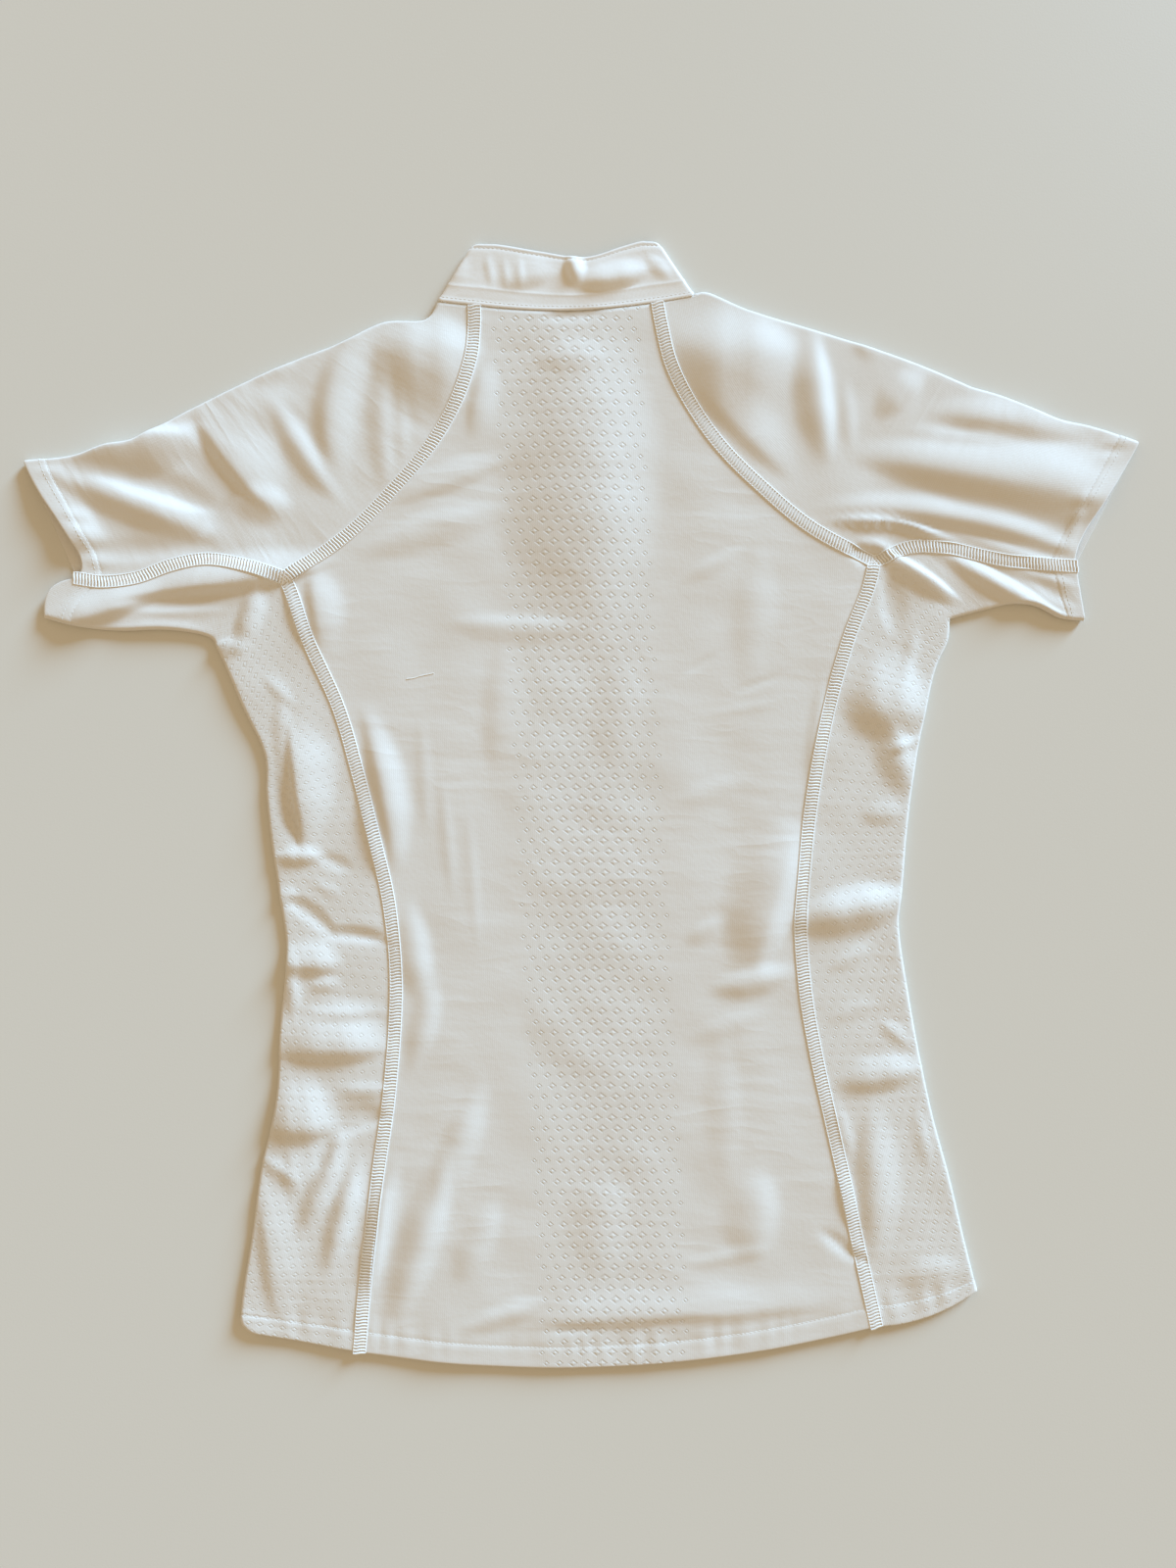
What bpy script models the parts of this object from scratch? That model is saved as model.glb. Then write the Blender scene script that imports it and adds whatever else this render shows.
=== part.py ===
"""Equestrian show shirt, laid flat with its back up: a raglan top with a stand collar.

Sizes in the tables are millimetres. X runs to the right of someone who looks down at the
shirt, Y towards its collar and Z up from the surface that it lies on. Left and right in the
names are the wearer's, and with the back up the wearer's left is at low X.
"""

import math
from collections import namedtuple

import bmesh
import bpy
import numpy as np
from mathutils.geometry import tessellate_polygon

MM = 0.001

# Cloth and how its two layers lie
WALL = 1.2
LOWER_MID = WALL / 2
LAYER_GAP = 1.2
UPPER_MID = WALL * 1.5 + LAYER_GAP
FOLD_RADIUS = 1.8
SEAM_HALF_GAP = 0.15
ROW_PULL = 0.19

# Front opening, on the side that lies face down
PLACKET_CENTRE_X = -8.7
PLACKET_WIDTH = 12.0
PLACKET_END_Y = 55.0

# How finely the pieces are divided
RAGLAN_ROWS = 16
CUFF_ROWS = 11
SIDE_ROWS = 38
BACK_COLUMNS = 26
SLEEVE_TOP_COLUMNS = 11
SIDE_TOP_COLUMNS = 8
TURN_COLUMNS = 4
UNDER_COLUMNS = 4
COLLAR_FRACTIONS = (0.0, 0.28, 0.55, 0.8, 1.0)
COLLAR_FRONT_ROWS = 5

# How far the middle of the back's neck edge and hem, and of each side's hem, hang lower
# than a straight line between the two ends
NECK_SAG = 4.0
HEM_SAG = 16.0
SIDE_HEM_SAG = {"left": 0.0, "right": 5.0}
CUFF_SETBACK = {"left": 6.0, "right": 2.0}

RaglanRow = namedtuple("RaglanRow", "edge_x edge_y back_x back_y front_x front_y")
SleeveRow = namedtuple("SleeveRow", "top_x top_y seam_x seam_y under_x under_y")
SideRow = namedtuple("SideRow", "seam_x seam_y edge_x edge_y")
CollarRow = namedtuple("CollarRow", "neck_x neck_y rim_x rim_y")
Fold = namedtuple("Fold", "x0 y0 x1 y1 bow half_width height lean")

# Shoulder, from the neck to the armpit: folded outline, back seam and front seam
RAGLAN = {
    "left": [
        RaglanRow(-85.3, 298.1, -63.8, 294.6, -63.8, 271.4),
        RaglanRow(-93.4, 286.5, -63.8, 282.5, -68.4, 258.1),
        RaglanRow(-117.2, 285.4, -66.1, 262.2, -76.6, 240.7),
        RaglanRow(-141.5, 273.8, -75.4, 236.1, -87.6, 222.1),
        RaglanRow(-165.9, 264.5, -91.1, 210.0, -102.1, 203.0),
        RaglanRow(-189.1, 254.6, -113.1, 184.4, -117.7, 185.0),
        RaglanRow(-212.3, 243.6, -139.8, 158.3, -141.5, 160.7),
        RaglanRow(-234.3, 232.6, -175.7, 133.4, -175.7, 133.4),
    ],
    "right": [
        RaglanRow(66.1, 302.2, 44.4, 296.4, 47.0, 272.0),
        RaglanRow(75.4, 302.8, 47.0, 282.5, 51.0, 258.1),
        RaglanRow(99.2, 292.3, 52.8, 259.8, 59.0, 240.7),
        RaglanRow(128.2, 283.6, 65.0, 235.5, 73.0, 222.1),
        RaglanRow(155.4, 275.5, 82.4, 211.1, 90.0, 203.0),
        RaglanRow(180.4, 267.4, 105.0, 188.5, 109.0, 186.0),
        RaglanRow(205.3, 258.1, 135.1, 163.6, 136.0, 164.0),
        RaglanRow(230.8, 247.1, 172.8, 142.7, 172.8, 142.7),
    ],
}

# Sleeve, from the armpit to the cuff: folded outline, seam and lower outline
SLEEVE = {
    "left": [
        SleeveRow(-234.3, 232.6, -175.7, 133.4, -216.3, 91.6),
        SleeveRow(-250.0, 223.9, -198.4, 140.4, -220.4, 98.0),
        SleeveRow(-265.1, 215.2, -221.0, 144.4, -234.3, 101.5),
        SleeveRow(-281.9, 212.3, -242.4, 140.9, -251.7, 102.7),
        SleeveRow(-298.1, 207.1, -263.3, 133.4, -273.8, 102.1),
        SleeveRow(-314.4, 204.7, -282.5, 131.1, -298.1, 104.4),
        SleeveRow(-330.0, 203.6, -299.9, 133.4, -318.4, 109.6),
    ],
    "right": [
        SleeveRow(230.8, 247.1, 172.8, 142.7, 218.1, 109.0),
        SleeveRow(248.2, 241.9, 193.1, 151.4, 228.5, 111.9),
        SleeveRow(265.6, 234.9, 213.4, 151.4, 240.1, 114.8),
        SleeveRow(283.0, 227.9, 233.2, 147.3, 252.9, 117.7),
        SleeveRow(299.3, 224.5, 252.9, 143.3, 268.0, 116.6),
        SleeveRow(314.9, 219.8, 273.2, 141.5, 283.0, 109.6),
        SleeveRow(329.4, 214.6, 292.3, 140.4, 297.0, 107.9),
    ],
}

# Side, from the armpit to the hem: seam and folded outline
SIDE = {
    "left": [
        SideRow(-175.7, 133.4, -216.3, 91.6),
        SideRow(-171.1, 123.0, -210.5, 78.9),
        SideRow(-161.2, 95.1, -200.1, 54.5),
        SideRow(-143.8, 56.3, -188.5, 29.0),
        SideRow(-132.2, 16.8, -187.3, 4.6),
        SideRow(-122.4, -21.5, -184.4, -22.0),
        SideRow(-114.3, -58.0, -179.8, -53.4),
        SideRow(-110.2, -95.7, -175.2, -89.9),
        SideRow(-110.8, -133.4, -179.2, -130.5),
        SideRow(-114.8, -178.6, -181.5, -176.9),
        SideRow(-120.1, -214.6, -190.2, -214.6),
        SideRow(-124.4, -252.3, -195.5, -253.5),
        SideRow(-128.8, -288.8, -200.7, -285.4),
        SideRow(-131.7, -324.2, -201.8, -310.9),
    ],
    "right": [
        SideRow(172.8, 142.7, 218.1, 109.0),
        SideRow(168.8, 126.4, 216.9, 96.3),
        SideRow(157.8, 98.6, 209.4, 78.9),
        SideRow(146.7, 59.7, 201.8, 45.2),
        SideRow(139.2, 23.2, 196.6, 16.2),
        SideRow(133.4, -16.2, 192.6, -17.4),
        SideRow(129.9, -55.1, 190.2, -48.1),
        SideRow(129.3, -78.3, 187.9, -72.5),
        SideRow(132.2, -113.1, 193.7, -113.1),
        SideRow(138.6, -149.6, 200.1, -148.5),
        SideRow(146.7, -185.6, 208.2, -185.6),
        SideRow(154.9, -222.1, 218.1, -222.1),
        SideRow(163.0, -259.8, 227.4, -261.0),
        SideRow(174.0, -309.1, 234.3, -288.3),
    ],
}

# Collar across the back, from the left fold to the right one: neck seam and free rim
COLLAR_BACK = [
    CollarRow(-85.3, 298.1, -65.5, 330.6),
    CollarRow(-63.8, 294.6, -50.5, 330.0),
    CollarRow(-33.1, 291.7, -24.9, 326.5),
    CollarRow(-2.3, 291.4, 1.7, 323.1),
    CollarRow(26.7, 294.3, 23.8, 329.4),
    CollarRow(44.4, 296.4, 36.0, 332.6),
    CollarRow(66.1, 302.2, 45.8, 331.8),
]

# Collar's front half on each side, from the front shoulder seam to the opening
COLLAR_FRONT = {
    "left": [
        CollarRow(-63.8, 271.4, -39.8, 291.0),
        CollarRow(-51.0, 256.3, -31.0, 280.0),
        CollarRow(-38.3, 241.9, -22.0, 268.0),
        CollarRow(-24.0, 231.5, -15.5, 260.5),
        CollarRow(-9.2, 225.6, -9.2, 257.5),
    ],
    "right": [
        CollarRow(47.0, 272.0, 23.6, 292.4),
        CollarRow(34.5, 256.3, 14.5, 280.2),
        CollarRow(21.5, 242.4, 5.2, 268.5),
        CollarRow(7.0, 231.5, -1.5, 260.5),
        CollarRow(-8.2, 225.6, -8.2, 257.5),
    ],
}

# The largest folds of the upper layer. A fold bows and leans to the left of its own way.
FOLDS = [
    # wearer's left sleeve
    Fold(-312.6, 192.6, -216.9, 164.7, 0.0, 15.1, 6.0, -0.3),
    Fold(-279.6, 207.6, -230.8, 213.4, 2.3, 8.0, 3.2, -0.3),
    Fold(-228.5, 232.0, -175.2, 172.8, -3.5, 12.8, 4.0, -0.4),
    Fold(-169.4, 259.8, -163.6, 194.3, 0.0, 10.4, 2.2, 0.0),
    Fold(-135.7, 269.1, -127.0, 191.4, 0.0, 11.0, 2.6, 0.0),
    Fold(-116.6, 266.8, -66.1, 264.5, 0.0, 15.7, 4.2, -0.3),
    Fold(-263.3, 142.7, -167.6, 142.7, 1.7, 13.9, 3.5, 0.0),
    Fold(-315.5, 112.5, -199.5, 132.2, 0.0, 8.5, 2.8, -0.3),
    Fold(-177.5, 133.4, -197.2, 95.1, 0.0, 8.0, 3.0, 0.3),
    # wearer's left side
    Fold(-157.8, 60.9, -149.6, -24.4, -2.3, 12.5, 4.6, -0.3),
    Fold(-180.4, -26.7, -140.4, -32.5, 0.0, 8.0, 3.0, -0.2),
    Fold(-179.8, -53.4, -114.8, -71.9, -2.3, 11.0, 4.0, -0.4),
    Fold(-170.5, -95.1, -113.7, -95.1, 0.0, 8.0, 1.8, 0.0),
    Fold(-179.8, -134.6, -112.5, -136.9, 0.0, 12.5, 5.0, -0.3),
    Fold(-176.3, -168.2, -113.7, -175.2, 0.0, 9.5, 2.6, -0.3),
    Fold(-119.5, -208.8, -143.8, -266.8, 0.0, 10.0, 3.0, 0.0),
    Fold(-150.8, -197.2, -167.0, -256.4, 0.0, 8.5, 2.4, 0.0),
    Fold(-185.0, -214.6, -168.8, -304.5, 0.0, 8.5, 2.0, 0.0),
    # back
    Fold(-128.8, 49.3, -102.1, -60.9, -2.9, 11.5, 2.4, 0.0),
    Fold(-85.8, -60.9, -102.1, -161.2, 4.6, 11.5, 2.4, 0.0),
    Fold(-76.0, -211.7, -105.6, -304.5, 0.0, 12.0, 2.6, 0.0),
    Fold(-34.2, -234.9, -61.5, -266.8, 0.0, 9.0, 1.8, 0.0),
    Fold(-112.5, 149.6, -16.8, 185.6, 0.0, 11.5, 1.6, 0.0),
    Fold(-45.2, 288.8, -47.6, 226.2, 0.0, 11.0, 1.6, 0.0),
    Fold(35.4, 284.2, 41.2, 190.4, 0.0, 20.0, 1.8, 0.0),
    Fold(104.4, -11.6, 89.3, -85.8, 0.0, 13.0, 2.6, 0.4),
    Fold(100.9, -109.0, 186.8, -60.3, 7.0, 12.0, 4.2, -0.3),
    Fold(134.6, -250.6, 169.4, -266.8, 0.0, 8.5, 2.0, -0.3),
    # wearer's right side
    Fold(182.1, 143.3, 218.7, 123.5, 0.0, 8.0, 3.2, -0.4),
    Fold(161.2, 58.0, 207.6, 65.0, 0.0, 15.0, 4.2, 0.0),
    Fold(154.3, -10.4, 194.9, -5.8, 0.0, 11.6, 2.2, 0.0),
    Fold(141.5, -170.5, 203.0, -167.0, 0.0, 12.0, 3.4, -0.3),
    # wearer's right sleeve
    Fold(51.0, 272.6, 123.0, 266.8, 0.0, 16.2, 5.0, -0.2),
    Fold(147.9, 280.7, 152.0, 198.4, 0.0, 9.5, 2.8, 0.0),
    Fold(172.8, 233.2, 205.3, 251.7, 0.0, 9.0, 1.9, 0.0),
    Fold(206.5, 233.2, 290.6, 220.4, 0.0, 11.0, 2.4, 0.0),
    Fold(177.5, 204.2, 309.7, 184.4, 0.0, 16.2, 6.5, -0.2),
    Fold(146.2, 167.0, 264.5, 147.3, 8.1, 11.5, 4.5, -0.3),
    Fold(211.1, 149.6, 271.4, 117.2, 3.5, 8.5, 3.2, -0.3),
]


def clear_scene():
    """Leave nothing of the startup scene."""
    for thing in list(bpy.data.objects):
        bpy.data.objects.remove(thing, do_unlink=True)


def spaced(rows, count, column):
    """Rows on a smooth curve through the given ones, evenly spaced by the point in this column."""
    given = np.array(rows, float)
    ends = np.vstack([2 * given[0] - given[1], given, 2 * given[-1] - given[-2]])
    fine = []
    for a, b, c, d in zip(ends, ends[1:], ends[2:], ends[3:]):
        for t in np.arange(0.0, 1.0, 0.1):
            slope = (c - a) * t
            bend = (2 * a - 5 * b + 4 * c - d) * t ** 2
            twist = (3 * b - 3 * c + d - a) * t ** 3
            fine.append(b + 0.5 * (slope + bend + twist))
    fine.append(given[-1])
    fine = np.array(fine)
    steps = np.diff(fine[:, column:column + 2], axis=0)
    along = np.concatenate([[0.0], np.cumsum(np.hypot(steps[:, 0], steps[:, 1]))])
    wanted = np.linspace(0.0, along[-1], count + 1)
    return np.column_stack([np.interp(wanted, along, values) for values in fine.T])


def fold_height(fold, points):
    """How far this fold lifts the upper layer at each point."""
    start = np.array([fold.x0, fold.y0])
    run = np.array([fold.x1, fold.y1]) - start
    length = np.hypot(*run)
    way = run / length
    left = np.array([-way[1], way[0]])
    along = np.clip((points - start) @ way / length, 0.0, 1.0)
    across = (points - start) @ left - fold.bow * 4 * along * (1 - along)
    sides = np.where(across > 0, 1 - fold.lean, 1 + fold.lean)
    share = np.clip(np.abs(across) / (fold.half_width * sides), 0.0, 1.0)
    return fold.height * np.cos(share * math.pi / 2) ** 2 * (1 - np.abs(2 * along - 1) ** 3)


def upper_height(points):
    """Height of the middle of the upper layer's wall at each point."""
    return UPPER_MID + sum(fold_height(fold, points) for fold in FOLDS)


def upper_normal(points):
    """Unit vectors square to the upper layer at each point."""
    step = 0.5
    east = np.array([step, 0.0])
    north = np.array([0.0, step])
    slope_x = (upper_height(points + east) - upper_height(points - east)) / (2 * step)
    slope_y = (upper_height(points + north) - upper_height(points - north)) / (2 * step)
    normals = np.column_stack([-slope_x, -slope_y, np.ones(len(points))])
    return normals / np.linalg.norm(normals, axis=1)[:, None]


def unit(vector):
    """The vector at a length of one."""
    return vector / np.linalg.norm(vector)


def sideways(line, towards):
    """At each point of an open line, the mitred step square to it that leads towards a point."""
    ways = [unit(b - a) for a, b in zip(line, line[1:])]
    before = [ways[0]] + ways
    after = ways + [ways[-1]]
    steps = []
    for point, a, b, goal in zip(line, before, after, towards):
        square = unit(np.array([-a[1] - b[1], a[0] + b[0]]))
        square = square if square @ (goal - point) > 0 else -square
        steps.append(square / max(0.5, abs(np.cross(a, square))))
    return np.array(steps)


def shifted(line, towards, distance):
    """An open line moved sideways by this distance, towards the given points."""
    return line + sideways(line, towards) * distance


def mixed(a, b, share):
    """The point this share of the way from a to b."""
    return a + (b - a) * share


def top_points(flat):
    """Mid-wall points and normals of the upper layer over these flat points."""
    return np.column_stack([flat, upper_height(flat)]), upper_normal(flat)


def under_points(flat):
    """Mid-wall points and normals of the layer that lies on the surface."""
    mid = np.column_stack([flat, np.full(len(flat), LOWER_MID)])
    return mid, np.tile([0.0, 0.0, -1.0], (len(flat), 1))


def turn_points(inner, inward):
    """Mid-wall points and normals round the fold between the layers, without its two ends."""
    top = upper_height(inner[None, :])[0]
    middle = (top + LOWER_MID) / 2
    rise = (top - LOWER_MID) / 2
    mid = []
    normals = []
    for turn in range(1, TURN_COLUMNS):
        angle = math.pi * (0.5 - turn / TURN_COLUMNS)
        out = inner - inward * FOLD_RADIUS * math.cos(angle)
        mid.append([*out, middle + rise * math.sin(angle)])
        level = -inward * rise * math.cos(angle)
        normals.append(unit(np.array([*level, FOLD_RADIUS * math.sin(angle)])))
    return np.array(mid), np.array(normals)


def folded_section(seam, edge, inward, front, columns, setback):
    """A section that runs from the back seam over the outline's fold to the front seam."""
    inner = edge + inward * (FOLD_RADIUS + WALL / 2)
    shares = np.linspace(0.0, 1.0, columns + 1)[:, None]
    over = mixed(seam, inner, shares) + setback * 4 * shares * (1 - shares)
    under = mixed(inner, front, np.linspace(0.0, 1.0, UNDER_COLUMNS + 1)[:, None])
    parts = [top_points(over), turn_points(inner, inward), under_points(under)]
    return np.vstack([mid for mid, _ in parts]), np.vstack([normal for _, normal in parts])


def folded_rows(seams, edges, inwards, fronts, columns, setbacks):
    """Every section of a folded piece, as two grids: mid-wall points and normals."""
    made = [
        folded_section(*row, columns, setback)
        for *row, setback in zip(seams, edges, inwards, fronts, setbacks)
    ]
    return np.array([mid for mid, _ in made]), np.array([normal for _, normal in made])


def pull_row(mid, row, towards):
    """Draw one row of a grid back from the seam that it lies on."""
    step = mid[towards] - mid[row]
    mid[row] += step / np.linalg.norm(step, axis=1)[:, None] * ROW_PULL


def wall_object(name, material, mid, normals):
    """A closed wall of cloth on a grid of mid-wall points."""
    rows, columns = mid.shape[:2]
    faces = []
    count = rows * columns
    for i in range(rows - 1):
        for j in range(columns - 1):
            a = i * columns + j
            b = a + columns
            faces.append((a, a + 1, b + 1, b))
            faces.append((count + a, count + b, count + b + 1, count + a + 1))
    top = list(range(columns))
    right = [i * columns + columns - 1 for i in range(1, rows)]
    bottom = [(rows - 1) * columns + j for j in range(columns - 2, -1, -1)]
    left = [i * columns for i in range(rows - 2, 0, -1)]
    border = top + right + bottom + left
    for a, b in zip(border, border[1:] + border[:1]):
        faces.append((b, a, count + a, count + b))
    outer = (mid + normals * WALL / 2).reshape(-1, 3)
    inner = (mid - normals * WALL / 2).reshape(-1, 3)
    return solid_object(name, material, np.vstack([outer, inner]), faces)


def plate_object(name, material, outline):
    """A flat piece of cloth on the surface, cut to this closed outline."""
    flat = [(x, y, 0.0) for x, y in outline]
    count = len(flat)
    faces = []
    for a, b, c in tessellate_polygon([flat]):
        faces.append((a, b, c))
        faces.append((count + a, count + c, count + b))
    for i in range(count):
        j = (i + 1) % count
        faces.append((i, j, count + j, count + i))
    points = [(x, y, 0.0) for x, y in outline] + [(x, y, WALL) for x, y in outline]
    return solid_object(name, material, np.array(points), faces)


def solid_object(name, material, points, faces):
    """A mesh object from points in millimetres, its faces turned to point out."""
    mesh = bpy.data.meshes.new(name)
    mesh.from_pydata((points * MM).tolist(), [], faces)
    work = bmesh.new()
    work.from_mesh(mesh)
    bmesh.ops.recalc_face_normals(work, faces=work.faces)
    bmesh.ops.triangulate(work, faces=work.faces)
    work.to_mesh(mesh)
    work.free()
    mesh.materials.append(material)
    made = bpy.data.objects.new(name, mesh)
    bpy.context.scene.collection.objects.link(made)
    return made


def cloth_material(name, colour, roughness):
    """A plain matt cloth."""
    material = bpy.data.materials.new(name)
    material.use_nodes = True
    shader = material.node_tree.nodes["Principled BSDF"]
    shader.inputs["Base Color"].default_value = (*colour, 1.0)
    shader.inputs["Roughness"].default_value = roughness
    return material


class SideLines:
    """The seams and outlines of one side of the shirt, divided evenly."""

    def __init__(self, side):
        """Divide this side's tables and find the way in from each folded outline."""
        raglan = spaced(RAGLAN[side], RAGLAN_ROWS, 2)
        sleeve = spaced(SLEEVE[side], CUFF_ROWS, 2)
        flank = spaced(SIDE[side], SIDE_ROWS, 0)
        self.side = side
        self.rim_fold = np.array(COLLAR_BACK[0 if side == "left" else -1][2:])
        self.back_raglan = raglan[:, 2:4]
        self.front_raglan = raglan[:, 4:6]
        self.underarm = sleeve[:, 2:4]
        self.flank_seam = flank[:, 0:2]
        self.shoulder = np.vstack([raglan[:, 0:2], sleeve[1:, 0:2]])
        self.lower = np.vstack([sleeve[:0:-1, 4:6], flank[:, 2:4]])
        shoulder_with_rim = np.vstack([self.rim_fold, self.shoulder])
        sleeve_seams = np.vstack([self.back_raglan, self.underarm[1:]])
        towards = np.vstack([self.back_raglan[0], sleeve_seams])
        self.shoulder_in = self.level(sideways(shoulder_with_rim, towards)[1:])
        self.lower_in = self.level(sideways(self.lower, self.lower_seams()))

    def level(self, steps):
        """Unit steps along these ways."""
        return steps / np.linalg.norm(steps, axis=1)[:, None]

    def lower_seams(self):
        """The back seam of the side panel, from the cuff to the armpit and on to the hem."""
        return np.vstack([self.underarm[:0:-1], self.flank_seam])


def build_back(left, right, material):
    """The centre back, a row across it from each point of the left seams to the right ones."""
    seams = []
    for lines, others in ((left, right), (right, left)):
        line = np.vstack([lines.back_raglan, lines.flank_seam[1:]])
        other = np.vstack([others.back_raglan, others.flank_seam[1:]])
        seams.append(shifted(line, other, SEAM_HALF_GAP))
    sags = np.linspace(NECK_SAG, HEM_SAG, len(seams[0]))
    shares = np.linspace(0.0, 1.0, BACK_COLUMNS + 1)[:, None]
    mids = []
    normals = []
    for a, b, sag in zip(*seams, sags):
        flat = mixed(a, b, shares) - np.array([0.0, sag]) * 4 * shares * (1 - shares)
        mid, normal = top_points(flat)
        mids.append(mid)
        normals.append(normal)
    mids = np.array(mids)
    pull_row(mids, 0, 1)
    wall_object("back", material, mids, np.array(normals))


def build_sleeve(lines, material):
    """One sleeve's top piece, from the neck to the cuff."""
    backs = np.vstack([lines.back_raglan, lines.underarm[1:]])
    fronts = np.vstack([lines.front_raglan, lines.underarm[1:]])
    backs = shifted(backs, lines.shoulder, SEAM_HALF_GAP)
    fronts = shifted(fronts, lines.shoulder, SEAM_HALF_GAP)
    setbacks = np.zeros_like(backs)
    setbacks[-1] = unit(backs[-2] - backs[-1]) * CUFF_SETBACK[lines.side]
    mid, normals = folded_rows(
        backs, lines.shoulder, lines.shoulder_in, fronts, SLEEVE_TOP_COLUMNS, setbacks
    )
    pull_row(mid, 0, 1)
    wall_object("sleeve_" + lines.side, material, mid, normals)


def build_side_panel(lines, material):
    """One side's panel, from the cuff along the underside of the sleeve and down to the hem."""
    seams = shifted(lines.lower_seams(), lines.lower, SEAM_HALF_GAP)
    setbacks = np.zeros_like(seams)
    setbacks[-1] = (0.0, -SIDE_HEM_SAG[lines.side])
    mid, normals = folded_rows(
        seams, lines.lower, lines.lower_in, seams, SIDE_TOP_COLUMNS, setbacks
    )
    wall_object("side_panel_" + lines.side, material, mid, normals)


def collar_column(left, right, fraction):
    """One line of the collar's wall, this share of the way from the neck seam to the rim."""
    mids = []
    normals = []

    def add(made, backwards=False):
        mid, normal = made
        mids.append(mid[::-1] if backwards else mid)
        normals.append(normal[::-1] if backwards else normal)

    def folded_part(lines, backwards):
        rows = COLLAR_BACK if lines.side == "left" else COLLAR_BACK[::-1]
        edge = mixed(lines.shoulder[0], lines.rim_fold, fraction)
        fold_way = unit(lines.rim_fold - lines.shoulder[0])
        square = np.array([fold_way[1], -fold_way[0]])
        square = square if square @ lines.shoulder_in[0] > 0 else -square
        inward = unit(mixed(lines.shoulder_in[0], square, fraction))
        inner = edge + inward * (FOLD_RADIUS + WALL / 2)
        over_end = mixed(lines.back_raglan[0], np.array(rows[1][2:]), fraction)
        over = mixed(over_end, inner, np.linspace(0, 1, SLEEVE_TOP_COLUMNS + 1)[1:, None])
        front = spaced(COLLAR_FRONT[lines.side], COLLAR_FRONT_ROWS, 0)
        ahead = mixed(front[:, 0:2], front[:, 2:4], fraction)
        under = mixed(inner, ahead[0], np.linspace(0, 1, UNDER_COLUMNS + 1)[:-1, None])
        parts = [
            top_points(over),
            turn_points(inner, inward),
            under_points(np.vstack([under, ahead])),
        ]
        for part in parts[::-1] if backwards else parts:
            add(part, backwards)

    folded_part(left, True)
    shares = np.linspace(0.0, 1.0, BACK_COLUMNS + 1)[:, None]
    neck = mixed(left.back_raglan[0], right.back_raglan[0], shares)
    neck = neck - np.array([0.0, NECK_SAG]) * 4 * shares * (1 - shares)
    table = np.array(COLLAR_BACK)
    rim = np.column_stack([
        np.interp(neck[:, 0], table[:, 0], table[:, 2]),
        np.interp(neck[:, 0], table[:, 0], table[:, 3]),
    ])
    add(top_points(mixed(neck, rim, fraction)))
    folded_part(right, False)
    return np.vstack(mids), np.vstack(normals)


def build_collar(left, right, material):
    """The stand collar, one band from the front opening round the back and to the front again."""
    made = [collar_column(left, right, fraction) for fraction in COLLAR_FRACTIONS]
    mid = np.array([column for column, _ in made])
    pull_row(mid, 0, 1)
    wall_object("collar", material, mid, np.array([normal for _, normal in made]))


def front_neck_y(x):
    """Height along Y of the front neck seam."""
    rows = COLLAR_FRONT["left"] + COLLAR_FRONT["right"][::-1]
    return float(np.interp(x, [row.neck_x for row in rows], [row.neck_y for row in rows]))


def inset_outline(outline, distance):
    """A closed outline drawn in by this distance on every side."""
    area = sum(np.cross(a, b) for a, b in zip(outline, np.roll(outline, -1, axis=0)))
    turn = 1.0 if area > 0 else -1.0
    made = []
    for a, b, c in zip(np.roll(outline, 1, axis=0), outline, np.roll(outline, -1, axis=0)):
        into = unit(b - a)
        away = unit(c - b)
        square = unit(np.array([-into[1] - away[1], into[0] + away[0]]))
        made.append(b + square * turn * distance / max(0.4, abs(np.cross(into, square))))
    return np.array(made)


def build_front(left, right, material):
    """The front body, face down under the back, with the opening's two strips let into it."""
    slot = [PLACKET_CENTRE_X - PLACKET_WIDTH, PLACKET_CENTRE_X + PLACKET_WIDTH]
    left_neck = spaced(COLLAR_FRONT["left"], COLLAR_FRONT_ROWS, 0)[:-1, 0:2]
    right_neck = spaced(COLLAR_FRONT["right"], COLLAR_FRONT_ROWS, 0)[-2::-1, 0:2]
    left_neck = left_neck[left_neck[:, 0] < slot[0] - 1.0]
    right_neck = right_neck[right_neck[:, 0] > slot[1] + 1.0]
    shares = np.linspace(0.0, 1.0, 13)[:, None]
    hem = mixed(left.flank_seam[-1], right.flank_seam[-1], shares)
    hem = hem - np.array([0.0, HEM_SAG]) * 4 * shares * (1 - shares)
    outline = np.vstack([
        left_neck,
        [(slot[0], front_neck_y(slot[0])), (slot[0], PLACKET_END_Y)],
        [(slot[1], PLACKET_END_Y), (slot[1], front_neck_y(slot[1]))],
        right_neck,
        right.front_raglan[1:],
        right.flank_seam[1:-1],
        hem[::-1],
        left.flank_seam[-2:0:-1],
        left.front_raglan[:0:-1],
    ])
    plate_object("front", material, inset_outline(outline, SEAM_HALF_GAP))


def build_plackets(material):
    """The two strips of the front opening, which meet at its middle."""
    for side, way in (("left", -1), ("right", 1)):
        outer = PLACKET_CENTRE_X + way * PLACKET_WIDTH
        strip = np.array([
            (PLACKET_CENTRE_X, PLACKET_END_Y),
            (outer, PLACKET_END_Y),
            (outer, front_neck_y(outer)),
            (PLACKET_CENTRE_X, front_neck_y(PLACKET_CENTRE_X)),
        ])
        plate_object("placket_" + side, material, inset_outline(strip, SEAM_HALF_GAP))


def stand_on_origin():
    """Put the middle of the shirt's underside at the origin."""
    meshes = [thing.data for thing in bpy.context.scene.collection.objects]
    points = np.array([vertex.co for mesh in meshes for vertex in mesh.vertices])
    low = points.min(axis=0)
    high = points.max(axis=0)
    away = (*((low + high) / 2)[:2], low[2])
    for mesh in meshes:
        for vertex in mesh.vertices:
            vertex.co = [value - step for value, step in zip(vertex.co, away)]


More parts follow.
